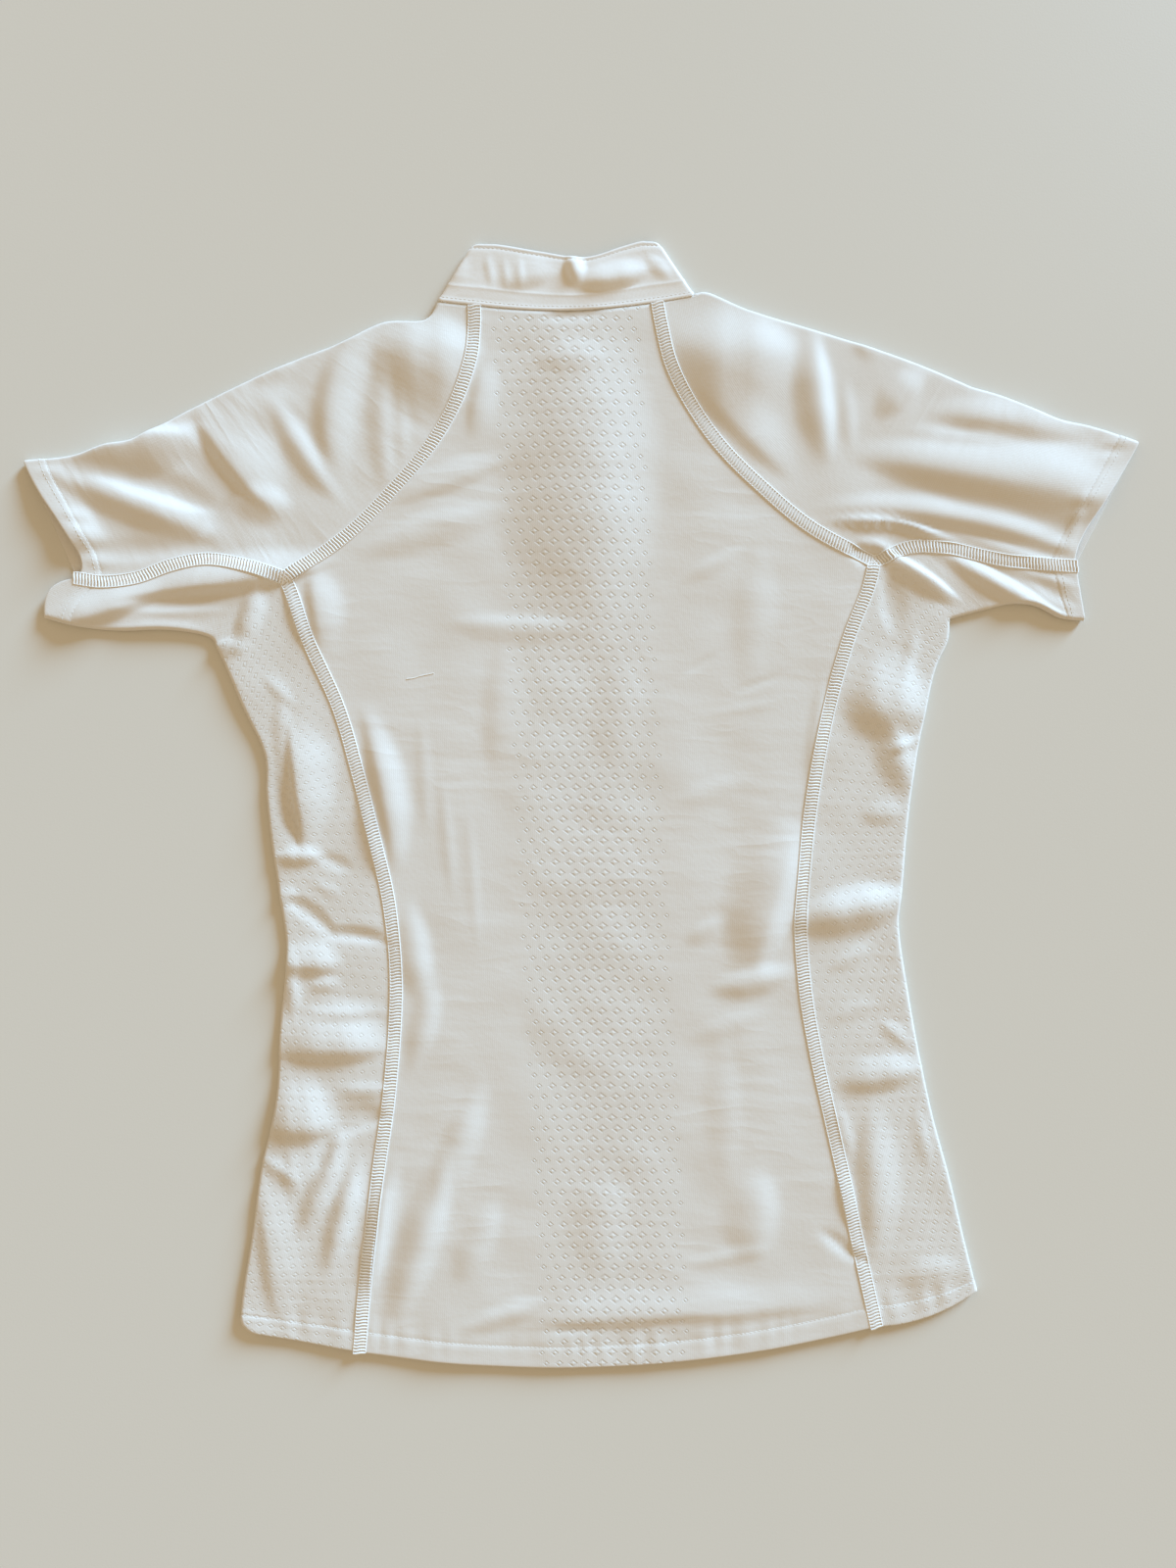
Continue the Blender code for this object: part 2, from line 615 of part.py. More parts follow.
def main():
    """Build the shirt."""
    clear_scene()
    knit = cloth_material("plain_knit", (0.62, 0.61, 0.58), 0.75)
    patterned = cloth_material("patterned_knit", (0.60, 0.59, 0.56), 0.78)
    collar_cloth = cloth_material("collar_cloth", (0.64, 0.63, 0.60), 0.7)
    left = SideLines("left")
    right = SideLines("right")
    build_back(left, right, knit)
    build_front(left, right, knit)
    build_plackets(collar_cloth)
    for lines in (left, right):
        build_sleeve(lines, knit)
        build_side_panel(lines, patterned)
    build_collar(left, right, collar_cloth)
    stand_on_origin()


main()
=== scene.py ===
"""Equestrian show shirt, laid flat with its back up: its finish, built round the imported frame.

Sizes in the tables and fields are millimetres, in a frame whose zero lies TABLE_SHIFT away
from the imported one. X runs to the right of someone who looks down at the shirt, Y towards
its collar and Z up. Left and right are the wearer's, and the wearer's left is at low X.
"""

import logging
import math
from collections.abc import Sequence
from dataclasses import dataclass, field
from enum import Enum
from typing import Any, NamedTuple

import bpy
import numpy as np
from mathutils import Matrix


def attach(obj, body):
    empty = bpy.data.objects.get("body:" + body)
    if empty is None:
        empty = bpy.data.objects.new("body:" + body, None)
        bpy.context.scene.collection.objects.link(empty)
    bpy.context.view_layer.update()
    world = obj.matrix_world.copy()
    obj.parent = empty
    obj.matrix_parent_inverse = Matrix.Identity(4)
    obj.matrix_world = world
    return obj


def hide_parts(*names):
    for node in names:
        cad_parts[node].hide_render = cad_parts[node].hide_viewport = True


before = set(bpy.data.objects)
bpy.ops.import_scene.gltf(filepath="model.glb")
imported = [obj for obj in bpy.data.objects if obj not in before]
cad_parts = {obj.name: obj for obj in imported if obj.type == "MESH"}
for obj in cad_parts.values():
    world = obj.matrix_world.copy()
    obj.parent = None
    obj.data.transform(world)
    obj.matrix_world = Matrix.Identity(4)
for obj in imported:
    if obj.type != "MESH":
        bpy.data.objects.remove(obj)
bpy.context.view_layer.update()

MM = 0.001
TABLE_SHIFT = np.array([0.30, 0.48, 0.0])
BODY = "root"
UV_NAME = "cloth"

# Where the layers lie, as in the frame's solids
SOLID_WALL = 1.2
UPPER_MID = 3.5
UPPER_FLOOR = 1.95
LOWER_MID = 0.6
LOWER_FLOOR = 0.42
FOLD_RADIUS = 1.8
TURN_DEPTH = FOLD_RADIUS + SOLID_WALL / 2
SEAM_HALF_GAP = 0.15

# Points of a folded piece that are higher than this belong to its upper half
LOWER_TOP = LOWER_MID + 1.0

# The share of a fold's length over which each of its ends dies away
END_SHARE = 0.42

# The cloth itself
CLOTH = 0.7
UNDER_CLOTH = 0.6
HEM_DEPTH = 12.0
CUFF_DEPTH = 14.5
CUFF_ROWS_APART = 3.4
NECK_SAG = 4.0
HEM_SAG = 16.0

# A hem's profile: doubled cloth, the step at its end, the stitches' groove and the rolled edge
DOUBLED = 0.24
STEP_PAST = 0.5
STEP_SOFTNESS = 0.45
GROOVE_DEPTH = 0.28
GROOVE_WIDTH = 0.75
ROLL_DEPTH = 0.35
ROLL_WIDTH = 1.4

# Puckers along a hem's stitches, and how far and over what length their spacing drifts
PUCKER_HEIGHT = 0.36
PUCKER_REACH = 8.5
PUCKER_LENGTH = 15.0
PUCKER_DRIFTS = ((2.6, 17.0), (1.4, 6.3))
PUCKER_FADING = 31.0

# How finely curves and cloth are divided, and the rows of their own that a hem needs
CURVE_STEP = 0.05
CLOSEST_ROWS = 0.8
EDGE_STEPS = (0.25, 0.7, 1.4)
GROOVE_STEPS = (-1.3, -0.6, 0.0, 0.6, 1.3)

# The thread that is pulled out of the back
SNAG = ((-103.8, 73.7), (-99.6, 74.2), (-95.1, 75.6), (-87.6, 77.1))
SNAG_RADIUS = 0.2

log = logging.getLogger("shirt")


class Side(Enum):
    """The wearer's two sides."""

    LEFT = "left"
    RIGHT = "right"

    @property
    def way(self) -> float:
        """The sign of X on this side."""
        return -1.0 if self is Side.LEFT else 1.0


class Slot(Enum):
    """Names of the material slots."""

    PLAIN = "plain_knit"
    PATTERNED = "patterned_knit"
    COLLAR = "collar_cloth"


class RaglanRow(NamedTuple):
    """A place along the shoulder: folded outline, back seam and front seam."""

    edge_x: float
    edge_y: float
    back_x: float
    back_y: float
    front_x: float
    front_y: float


class SleeveRow(NamedTuple):
    """A place along the sleeve: folded outline, underarm seam and lower outline."""

    top_x: float
    top_y: float
    seam_x: float
    seam_y: float
    under_x: float
    under_y: float


class FlankRow(NamedTuple):
    """A place down the side: seam and folded outline."""

    seam_x: float
    seam_y: float
    edge_x: float
    edge_y: float


class CollarRow(NamedTuple):
    """A place along the collar: neck seam and free rim."""

    neck_x: float
    neck_y: float
    rim_x: float
    rim_y: float


class Fold(NamedTuple):
    """A soft ridge, or a trough where the height is negative.

    It bows, leans and is pushed over to the left of its own way. A power under 2 gives it a
    broad back and a sharp foot, and a flare makes it wider towards its end.
    """

    x0: float
    y0: float
    x1: float
    y1: float
    bow: float
    half_width: float
    height: float
    lean: float = 0.0
    power: float = 2.0
    push: float = 0.0
    flare: float = 0.0


# Shoulder, from the neck to the armpit
RAGLAN = {
    Side.LEFT: (
        RaglanRow(-85.3, 298.1, -63.8, 294.6, -63.8, 271.4),
        RaglanRow(-93.4, 286.5, -63.8, 282.5, -68.4, 258.1),
        RaglanRow(-117.2, 285.4, -66.1, 262.2, -76.6, 240.7),
        RaglanRow(-141.5, 273.8, -75.4, 236.1, -87.6, 222.1),
        RaglanRow(-165.9, 264.5, -91.1, 210.0, -102.1, 203.0),
        RaglanRow(-189.1, 254.6, -113.1, 184.4, -117.7, 185.0),
        RaglanRow(-212.3, 243.6, -139.8, 158.3, -141.5, 160.7),
        RaglanRow(-234.3, 232.6, -175.7, 133.4, -175.7, 133.4),
    ),
    Side.RIGHT: (
        RaglanRow(66.1, 302.2, 44.4, 296.4, 47.0, 272.0),
        RaglanRow(75.4, 302.8, 47.0, 282.5, 51.0, 258.1),
        RaglanRow(99.2, 292.3, 52.8, 259.8, 59.0, 240.7),
        RaglanRow(128.2, 283.6, 65.0, 235.5, 73.0, 222.1),
        RaglanRow(155.4, 275.5, 82.4, 211.1, 90.0, 203.0),
        RaglanRow(180.4, 267.4, 105.0, 188.5, 109.0, 186.0),
        RaglanRow(205.3, 258.1, 135.1, 163.6, 136.0, 164.0),
        RaglanRow(230.8, 247.1, 172.8, 142.7, 172.8, 142.7),
    ),
}

# Sleeve, from the armpit to the cuff
SLEEVE = {
    Side.LEFT: (
        SleeveRow(-234.3, 232.6, -175.7, 133.4, -216.3, 91.6),
        SleeveRow(-250.0, 223.9, -198.4, 140.4, -220.4, 98.0),
        SleeveRow(-265.1, 215.2, -221.0, 144.4, -234.3, 101.5),
        SleeveRow(-281.9, 212.3, -242.4, 140.9, -251.7, 102.7),
        SleeveRow(-298.1, 207.1, -263.3, 133.4, -273.8, 102.1),
        SleeveRow(-314.4, 204.7, -282.5, 131.1, -298.1, 104.4),
        SleeveRow(-330.0, 203.6, -299.9, 133.4, -318.4, 109.6),
    ),
    Side.RIGHT: (
        SleeveRow(230.8, 247.1, 172.8, 142.7, 218.1, 109.0),
        SleeveRow(248.2, 241.9, 193.1, 151.4, 228.5, 111.9),
        SleeveRow(265.6, 234.9, 213.4, 151.4, 240.1, 114.8),
        SleeveRow(283.0, 227.9, 233.2, 147.3, 252.9, 117.7),
        SleeveRow(299.3, 224.5, 252.9, 143.3, 268.0, 116.6),
        SleeveRow(314.9, 219.8, 273.2, 141.5, 283.0, 109.6),
        SleeveRow(329.4, 214.6, 292.3, 140.4, 297.0, 107.9),
    ),
}

# Flank, from the armpit to the hem
FLANK = {
    Side.LEFT: (
        FlankRow(-175.7, 133.4, -216.3, 91.6),
        FlankRow(-171.1, 123.0, -210.5, 78.9),
        FlankRow(-161.2, 95.1, -200.1, 54.5),
        FlankRow(-143.8, 56.3, -188.5, 29.0),
        FlankRow(-132.2, 16.8, -187.3, 4.6),
        FlankRow(-122.4, -21.5, -184.4, -22.0),
        FlankRow(-114.3, -58.0, -179.8, -53.4),
        FlankRow(-110.2, -95.7, -175.2, -89.9),
        FlankRow(-110.8, -133.4, -179.2, -130.5),
        FlankRow(-114.8, -178.6, -181.5, -176.9),
        FlankRow(-120.1, -214.6, -190.2, -214.6),
        FlankRow(-124.4, -252.3, -195.5, -253.5),
        FlankRow(-128.8, -288.8, -200.7, -285.4),
        FlankRow(-130.9, -314.5, -202.3, -304.0),
        FlankRow(-131.4, -320.5, -200.3, -310.0),
        FlankRow(-131.7, -324.2, -194.2, -313.2),
    ),
    Side.RIGHT: (
        FlankRow(172.8, 142.7, 218.1, 109.0),
        FlankRow(168.8, 126.4, 216.9, 96.3),
        FlankRow(157.8, 98.6, 209.4, 78.9),
        FlankRow(146.7, 59.7, 201.8, 45.2),
        FlankRow(139.2, 23.2, 196.6, 16.2),
        FlankRow(133.4, -16.2, 192.6, -17.4),
        FlankRow(129.9, -55.1, 190.2, -48.1),
        FlankRow(129.3, -78.3, 187.9, -72.5),
        FlankRow(132.2, -113.1, 193.7, -113.1),
        FlankRow(138.6, -149.6, 200.1, -148.5),
        FlankRow(146.7, -185.6, 208.2, -185.6),
        FlankRow(154.9, -222.1, 218.1, -222.1),
        FlankRow(163.0, -259.8, 227.4, -261.0),
        FlankRow(174.0, -309.1, 234.3, -288.3),
    ),
}

# Collar across the back, from the left fold to the right one
COLLAR_BACK = (
    CollarRow(-85.3, 298.1, -65.2, 331.0),
    CollarRow(-63.8, 294.6, -50.5, 330.6),
    CollarRow(-33.1, 291.7, -24.9, 326.5),
    CollarRow(-2.3, 291.4, 1.7, 323.1),
    CollarRow(26.7, 294.3, 23.8, 329.4),
    CollarRow(44.4, 296.4, 36.0, 332.6),
    CollarRow(66.1, 302.2, 46.0, 332.0),
)

# Collar's front half on each side, from the front shoulder seam to the opening
COLLAR_FRONT = {
    Side.LEFT: (
        CollarRow(-63.8, 271.4, -39.8, 291.0),
        CollarRow(-51.0, 256.3, -31.0, 280.0),
        CollarRow(-38.3, 241.9, -22.0, 268.0),
        CollarRow(-24.0, 231.5, -15.5, 260.5),
        CollarRow(-9.2, 225.6, -9.2, 257.5),
    ),
    Side.RIGHT: (
        CollarRow(47.0, 272.0, 23.6, 292.4),
        CollarRow(34.5, 256.3, 14.5, 280.2),
        CollarRow(21.5, 242.4, 5.2, 268.5),
        CollarRow(7.0, 231.5, -1.5, 260.5),
        CollarRow(-8.2, 225.6, -8.2, 257.5),
    ),
}

# Folds of the upper layer, each with its crest's two ends
FOLDS = (
    # wearer's left sleeve
    Fold(-127.6, 264.3, -55.7, 265.8, 0, 36.3, 5.6, 0.21),
    Fold(-119.7, 295.5, -141.3, 179, -18, 16.4, 3.2, -0.25),
    Fold(-117.3, 268.2, -115.9, 181.9, -1.2, 11, 1.5, 0.12),
    Fold(-184.7, 241.4, -140.1, 174.5, -2.3, 11, 2.2),
    Fold(-226.1, 226, -161.4, 240.4, 0, 20.5, 1.6),
    Fold(-230.3, 238.8, -175.7, 168.3, -4.6, 19.2, 3.8, -0.5, 1.7),
    Fold(-313.3, 202.2, -216.2, 222.4, 2.3, 14.6, 6, 0.52, 1.5, 0, 0.2),
    Fold(-291.8, 196.1, -207.6, 171.6, 0, 12.7, -2.4, -0.35),
    Fold(-261.3, 219.1, -222.4, 220.5, 1.7, 3.8, -0.9, 0.09),
    Fold(-323.5, 200.5, -205.5, 154.5, 0, 15.7, 4.2, -0.13, 1.8),
    Fold(-331.9, 205.8, -294.5, 141.1, 0, 16.8, 3.2, -0.63),
    Fold(-315.7, 157.2, -278.3, 157.2, 0, 15.7, 2.6, -0.3, 1.8),
    Fold(-307.5, 148.7, -210.4, 152.3, 0, 9.6, -1.2),
    Fold(-201.7, 187.8, -227.5, 153.3, 0, 5.5, -1),
    Fold(-209.2, 181.1, -168.9, 173.9, 0, 14.4, 2.2, 0.05),
    Fold(-108, 251.7, -106.6, 197.8, 0, 7.5, 0.8, 0.09),
    Fold(-203, 257.9, -167, 260, 0, 13.7, 1.2, 0.2),
    # wearer's left under sleeve and armpit
    Fold(-325.8, 103.1, -243.8, 128.9, -3.5, 12.3, 4.4, -0.44, 1.8),
    Fold(-273.3, 122.6, -140.2, 144.2, -2.3, 13.7, 4.6, -0.4, 1.8),
    Fold(-280.4, 116.9, -194.1, 125.5, 0, 7.5, -1.6, 0.09),
    Fold(-286.5, 100.9, -214.6, 100.9, 0, 8.2, 1.2, -0.17),
    Fold(-263.6, 112.3, -200.4, 114.5, 0, 4.8, 0.6),
    Fold(-188.8, 135.7, -203.9, 88.2, 0, 8.9, 2.6, -0.08, 1.6),
    Fold(-220.6, 92.8, -194.7, 92.8, 0, 5.5, 1.8, 0, 1.6),
    Fold(-176.8, 131.9, -159.6, 87.3, 0, 6.2, 1.2, -0.11),
    Fold(-160.8, 143.6, -153.6, 86.1, 0, 13, 2.4, -0.47, 1.8),
    # wearer's left side
    Fold(-171.9, 53.6, -164, -32.7, 0, 15.4, 4.4, -0.6, 1.7, 0, -0.3),
    Fold(-181.3, 20, -166.2, -30.4, 0, 7.5, -2, 0.27),
    Fold(-184.3, -32.6, -149.8, -31.2, 0, 6.8, 2.4, -0.2, 1.6),
    Fold(-159.1, -29.1, -133.2, -39.9, 0, 5.8, -1.2, 0.06),
    Fold(-185.1, -51.5, -142, -82.5, 3.5, 6.2, -2.2),
    Fold(-157.7, -79, -110.2, -84, 4.1, 5.5, -2),
    Fold(-183.8, -57.8, -166.5, -54.2, 0, 5.5, 1.6, -0.25, 1.6),
    Fold(-181.5, -95.1, -139.8, -95.1, 0, 13, 3.4, -0.37),
    Fold(-164.8, -108, -140.3, -106.6, 0, 5.5, 1.2),
    Fold(-173, -77.1, -171.5, -131.7, 0, 6.2, 2, -0.33),
    Fold(-169.4, -125.5, -109, -123.3, 0, 6.8, 1.4, -0.4),
    Fold(-187.5, -146.4, -108.3, -143.6, 0, 20.5, 4.8, -0.47),
    Fold(-150.2, -169.5, -108.5, -168.1, 0, 6.2, 1.2, 0.11),
    Fold(-191.5, -191.6, -142.6, -189.5, 0, 25.3, 4.6, -0.51),
    Fold(-152.5, -198.7, -110.8, -183.6, 2.3, 11, -2.4, -0.38),
    Fold(-147.4, -189.1, -158.2, -225, 0, 8.2, -1.8, 0.17),
    Fold(-138.6, -193.1, -168.8, -259.3, 0, 9.9, 2.8, -0.03),
    Fold(-130.7, -206.1, -153, -282.3, 0, 10.3, 3.4, -0.07),
    Fold(-114.7, -215.2, -127.7, -299.3, 0, 8.2, 1.6, 0.17),
    Fold(-191.4, -205.8, -167, -224.5, 0, 5.5, 1.6, 0.25, 1.6),
    Fold(-173.1, -199.5, -170.2, -235.5, 0, 8.2, 1.4, -0.17),
    Fold(-190.8, -216.8, -179.3, -313.9, 0, 15.1, 2.2, -0.55),
    Fold(-179.1, 68.1, -174.7, 12, 0, 8.2, 0.9),
    Fold(-190, 77.5, -168.4, 55.9, 0, 6.2, 0.7),
    Fold(-129.9, 14.6, -118.4, -46.5, 0, 8.6, 1.4, 0.28),
    Fold(-162.3, -45.4, -139.3, -56.1, 0, 4.8, 0.6),
    # back, wearer's left
    Fold(-130.8, 61.3, -109.9, -45.1, 3.5, 13, 3.2, -0.26),
    Fold(-103.6, -54.3, -94.2, -122.6, 0, 13.7, 2, 0.1),
    Fold(-87.7, -98, -104.3, -164.2, 2.3, 11, 1.4),
    Fold(-78.7, -197, -116.8, -319.2, 2.3, 15.7, 3, 0.04),
    Fold(-57.1, -158.4, -90.2, -247.6, 0, 13.7, 1.8, -0.1),
    Fold(-49.8, -231.4, -74.3, -286, 0, 14.4, 1.6, 0.05),
    Fold(-109.4, -204.4, -129.5, -297.9, 0, 9.6, 1.6, -0.14),
    Fold(-55.2, 266, -66, 214.2, 0, 11, 1.3, -0.25),
    Fold(-120.9, 176.7, -34.6, 209, -1.7, 11, 1.2, -0.25),
    Fold(-136.6, 146.2, -38, 175.7, 2.3, 14.4, 1.4, 0.05),
    Fold(-85.6, 108.2, 7.9, 104.6, -1.7, 10.4, 1.2, 0.2, 1.8),
    Fold(-46, 101.5, -50.3, 11.6, 0, 17.1, 1, -0.2),
    Fold(-75.2, -312.2, -17, -292.8, 0, 8.9, 1.4, 0.08),
    Fold(-83.1, 19.6, -75.9, -63.1, 0, 5.5, 0.4),
    Fold(-68, 3.6, -60.8, -93.5, 0, 5.5, 0.3, 0.12),
    Fold(-95.5, 57.3, -91.2, -25.4, 0, 6.2, 0.4),
    # back, middle
    Fold(7.5, 299.3, 1.8, 83.5, -2.3, 53, 4.8, 0.1),
    Fold(-31.6, 263.3, 18.8, 263.3, 0, 13.7, 1, -0.1),
    Fold(23.5, 94.1, 20, 9.2, 0, 19.8, 0.8, 0.03),
    Fold(11.7, -206.9, 10.3, -286.1, 0, 22.2, 1.2, 0.08),
    Fold(-49.1, -306.8, 164.5, -294.6, -1.2, 15.1, 2.2, -0.45),
    Fold(-27.3, -311.7, 20.9, -309.5, 0, 3.4, -0.9),
    Fold(22.9, -309.2, 86.2, -302.7, 0, 3.4, -0.9),
    Fold(-30.5, 287.3, 21.3, 291.6, 0, 4.8, -1, 0.14),
    Fold(-28.1, -47.4, 58.2, -36.7, 0, 25.7, 0.7, 0.07),
    Fold(-35.5, -111.1, 7.7, -161.5, 0, 20.5, 0.6),
    # back, wearer's right
    Fold(127, -4.9, 96.8, -109.9, 0, 24.6, 4.4, 0.28),
    Fold(72.3, -110.3, 128.4, -97.3, -1.7, 11, 2.2),
    Fold(104.8, -212, 100.5, -275.2, 0, 20.5, 1.8, 0.17),
    Fold(57.2, 74.4, 83.1, 90.9, 0, 3.4, -0.5),
    Fold(83.6, 63.5, 124.6, 78.6, 0, 3.4, -0.5),
    Fold(67.5, 51.2, 125, 61.3, 0, 4.1, 0.4),
    Fold(57.3, 131.3, 100.5, 152.9, 0, 7.5, 0.6, 0.09),
    Fold(105.8, 156.6, 97.2, 66.7, 0, 17.1, 0.8),
    Fold(58.7, -82.9, 87.5, -65, 0, 8.2, 0.9, 0.17),
    Fold(55.2, -141.3, 119.9, -119.7, 0, 8.9, 0.6, 0.08),
    Fold(81.3, -129.5, 86.3, -230.1, 0, 14.4, 0.6, 0.05),
    Fold(50.8, -1.7, 101.2, 16.2, 0, 10.3, 0.6, 0.07),
    Fold(55.2, -273.9, 119.9, -260.9, 0, 6.5, 0.7, 0.05),
    # wearer's right side and armpit
    Fold(179.9, 143.9, 184.9, 95, 0, 10.3, -1.6, -0.2),
    Fold(152.2, 55.5, 209.7, 57, 0, 29.1, 5, -0.29),
    Fold(178.1, 56.3, 195.4, 1.7, 0, 13.7, 2.6, 0.2),
    Fold(180.2, 29.1, 200.3, 39.9, 0, 4.1, 1.6, 0, 1.6),
    Fold(161.7, -7.2, 193.3, -5, 0, 9.6, 1.2, -0.14),
    Fold(119.9, -72.6, 199.1, -53.2, 0, 16.4, 5.4, 0, 1.8),
    Fold(146.3, -167.7, 205.2, -154.8, 0, 13, 3.2, -0.16, 1.8),
    Fold(170.8, -170.7, 173.7, -277.1, 0, 16.4, 2.4, -0.17),
    Fold(137, -249.3, 171.5, -274.5, 0, 5.5, -1.4),
    Fold(183.6, -280.3, 228.2, -272.4, 0, 12.3, 1.2, 0.11),
    Fold(143.7, 83.1, 133.6, 3.9, 0, 6.2, 0.8),
    Fold(142.4, -100.3, 174.8, -82.4, 0, 6.5, 0.8, 0.05),
    Fold(142.1, -129, 178.1, -114.6, 0, 7.5, 0.6, 0.09),
    Fold(172.8, -125.7, 197.2, -145.8, 0, 5.5, 0.9),
    Fold(198.8, 108.6, 188, 65.4, 0, 6.2, 0.9),
    Fold(147.2, -169.8, 160.2, -213, 0, 6.8, 0.9),
    Fold(152.3, -213.7, 160.9, -253.2, 0, 6.8, 1),
    Fold(196.9, -175.6, 206.2, -218.8, 0, 6.8, 0.8, 0.2),
    # wearer's right under sleeve
    Fold(204.8, 152.2, 294, 101.8, 0, 8.2, 3.2, 0, 1.6),
    Fold(172.2, 153.1, 226.8, 117.2, 0, 7.2, 3.4, 0.33, 1.4, 1),
    Fold(262.4, 134, 295.5, 116, 0, 6.8, -0.8),
    Fold(231.8, 118.3, 300.1, 106.8, 0, 6.2, 1.2, -0.11),
    Fold(155, 151.6, 183.7, 143, 0, 8.2, -2.8),
    # wearer's right sleeve
    Fold(47.2, 264.8, 134.9, 261.9, 0, 39.7, 6.2, 0.1),
    Fold(135.9, 285.8, 146, 197.3, -1.7, 13.7, 3.4, 0.2, 1.8),
    Fold(172.1, 226.8, 203.7, 257, 0, 13, 2, -0.16),
    Fold(199.3, 231.1, 303.6, 216, 1.7, 14.4, 2.8, -0.24, 1.8),
    Fold(152.9, 207.2, 347.1, 175.6, 0, 26, 6, -0.21, 1.8, 0, 0.35),
    Fold(128.9, 172.9, 307.3, 142, 11.6, 11.6, 3.2, -0.29, 1.7),
    Fold(216.4, 161.1, 299.8, 133, 0, 6.2, 1),
    Fold(228.4, 147.7, 301.7, 125.4, 0, 6.2, 0.7),
    Fold(137.4, 167.3, 228, 152.2, 4.6, 5.1, 3.6, -0.07, 1.4, 0.8),
    Fold(164.1, 163.6, 206.5, 157.1, 1.7, 3.8, -2.2, -0.09),
    Fold(155.9, 153.4, 187.5, 150.5, 0, 6.2, 1.8, 0, 1.6),
    Fold(63.2, 252.2, 129.4, 187.5, 0, 16.8, 1.8, -0.43),
    Fold(158, 271, 179.6, 276, 0, 11.6, 1, 0.29),
    Fold(155, 254.3, 159.3, 203.9, 0, 6.8, 0.6),
    Fold(180.7, 221.1, 267, 213.9, 0, 6.8, 0.8),
    Fold(295.5, 185.9, 286.8, 147, 0, 5.5, 0.8),
    # collar
    Fold(-7.4, 326.9, -3.1, 305.3, 0, 7.6, 3.2, -0.2),
    Fold(-10.1, 307.5, 46, 318.3, -3.5, 10, 3.2, -0.3, 1.8),
    Fold(-57, 327, -52.5, 303, 0, 3.6, 0.6),
    Fold(-47, 325, -44, 302, 0, 3.4, 0.5),
    Fold(-37.5, 325, -36, 303, 0, 3.2, 0.5),
    Fold(-52.8, 305.8, -11, 315.9, 0, 11.6, 1.5, -0.29),
    Fold(36.6, 325.2, 53.9, 309.3, 0, 6.8, 0.9),
    Fold(-71.4, 325.7, -77.1, 304.2, 0, 9.6, 0.7),
)

# Soft creases of the layer that lies on the surface, lifted off it
UNDER_FOLDS = (
    Fold(-124, 78, -91, -68, 4, 6, 0.55),
    Fold(-76, -58, -114, -172, 3, 7, 0.45),
    Fold(-55, -188, -100, -302, -2, 5.5, 0.5),
    Fold(97, 44, 78, -84, -3, 7, 0.55),
    Fold(60, -114, 161, -76, 5, 5, 0.5),
    Fold(116, -201, 154, -290, 0, 6, 0.4),
    Fold(17, -44, 48, -197, 6, 8, 0.4),
    Fold(-40, 34, 50, 1, -4, 5, 0.35),
    Fold(-42, 198, -118, 122, 3, 6, 0.5),
    Fold(41, 208, 130, 132, -3, 5, 0.4),
    Fold(-185, 247, -134, 183, 3, 5.5, 0.55),
    Fold(-299, 188, -211, 162, 2, 6, 0.55),
    Fold(-245, 222, -195, 153, 0, 4.5, 0.45),
    Fold(194, 247, 156, 183, 3, 6, 0.45),
    Fold(210, 192, 305, 173, 2, 5, 0.55),
    Fold(244, 227, 206, 158, 0, 6, 0.4),
    Fold(-173, 81, -147, -31, 3, 5, 0.55),
    Fold(-170, -76, -120, -114, 2, 4.5, 0.5),
    Fold(-181, -173, -124, -236, 3, 6, 0.45),
    Fold(189, 69, 151, -18, 3, 5.5, 0.5),
    Fold(139, -107, 196, -133, 2, 4.5, 0.55),
    Fold(155, -193, 205, -257, 3, 6, 0.4),
)


def every(pitch: float, length: float) -> int:
    """How many steps of about this pitch fill the length."""
    return max(2, round(length / pitch))


def shares(count: int) -> np.ndarray:
    """Evenly spaced shares from 0 to 1, one more than count, as a column."""
    return np.linspace(0.0, 1.0, count + 1)[:, None]


def mixed(a: np.ndarray, b: np.ndarray, share: np.ndarray | float) -> np.ndarray:
    """The points this share of the way from a to b."""
    return a + (b - a) * share


def unit(vectors: np.ndarray) -> np.ndarray:
    """The vectors at a length of one."""
    return vectors / np.maximum(np.linalg.norm(vectors, axis=-1, keepdims=True), 1e-9)


def travelled(line: np.ndarray) -> np.ndarray:
    """Distance from the start of a line to each of its points."""
    steps = np.linalg.norm(np.diff(line, axis=0), axis=1)
    return np.concatenate([[0.0], np.cumsum(steps)])


def remaining(line: np.ndarray) -> np.ndarray:
    """Distance from each point of a line to its end."""
    travel = travelled(line)
    return travel[-1] - travel


def near(distance: np.ndarray, reach: float) -> np.ndarray:
    """1 at no distance and 0 from the reach on, straight in between."""
    return np.clip(1 - distance / reach, 0.0, 1.0)


def bell(distance: np.ndarray, width: float) -> np.ndarray:
    """1 at no distance, dying away softly over about the width on both sides."""
    return np.exp(-((distance / width) ** 2))


def falling(distance: np.ndarray, edge: float, softness: float) -> np.ndarray:
    """1 before the edge and 0 past it, with a soft step."""
    return 1 / (1 + np.exp(np.clip((distance - edge) / softness, -50.0, 50.0)))


def read_at(table: np.ndarray, along: np.ndarray, wanted: np.ndarray) -> np.ndarray:
    """A table's rows at wanted places, where along says how far on each row lies."""
    return np.column_stack([np.interp(wanted, along, values) for values in table.T])


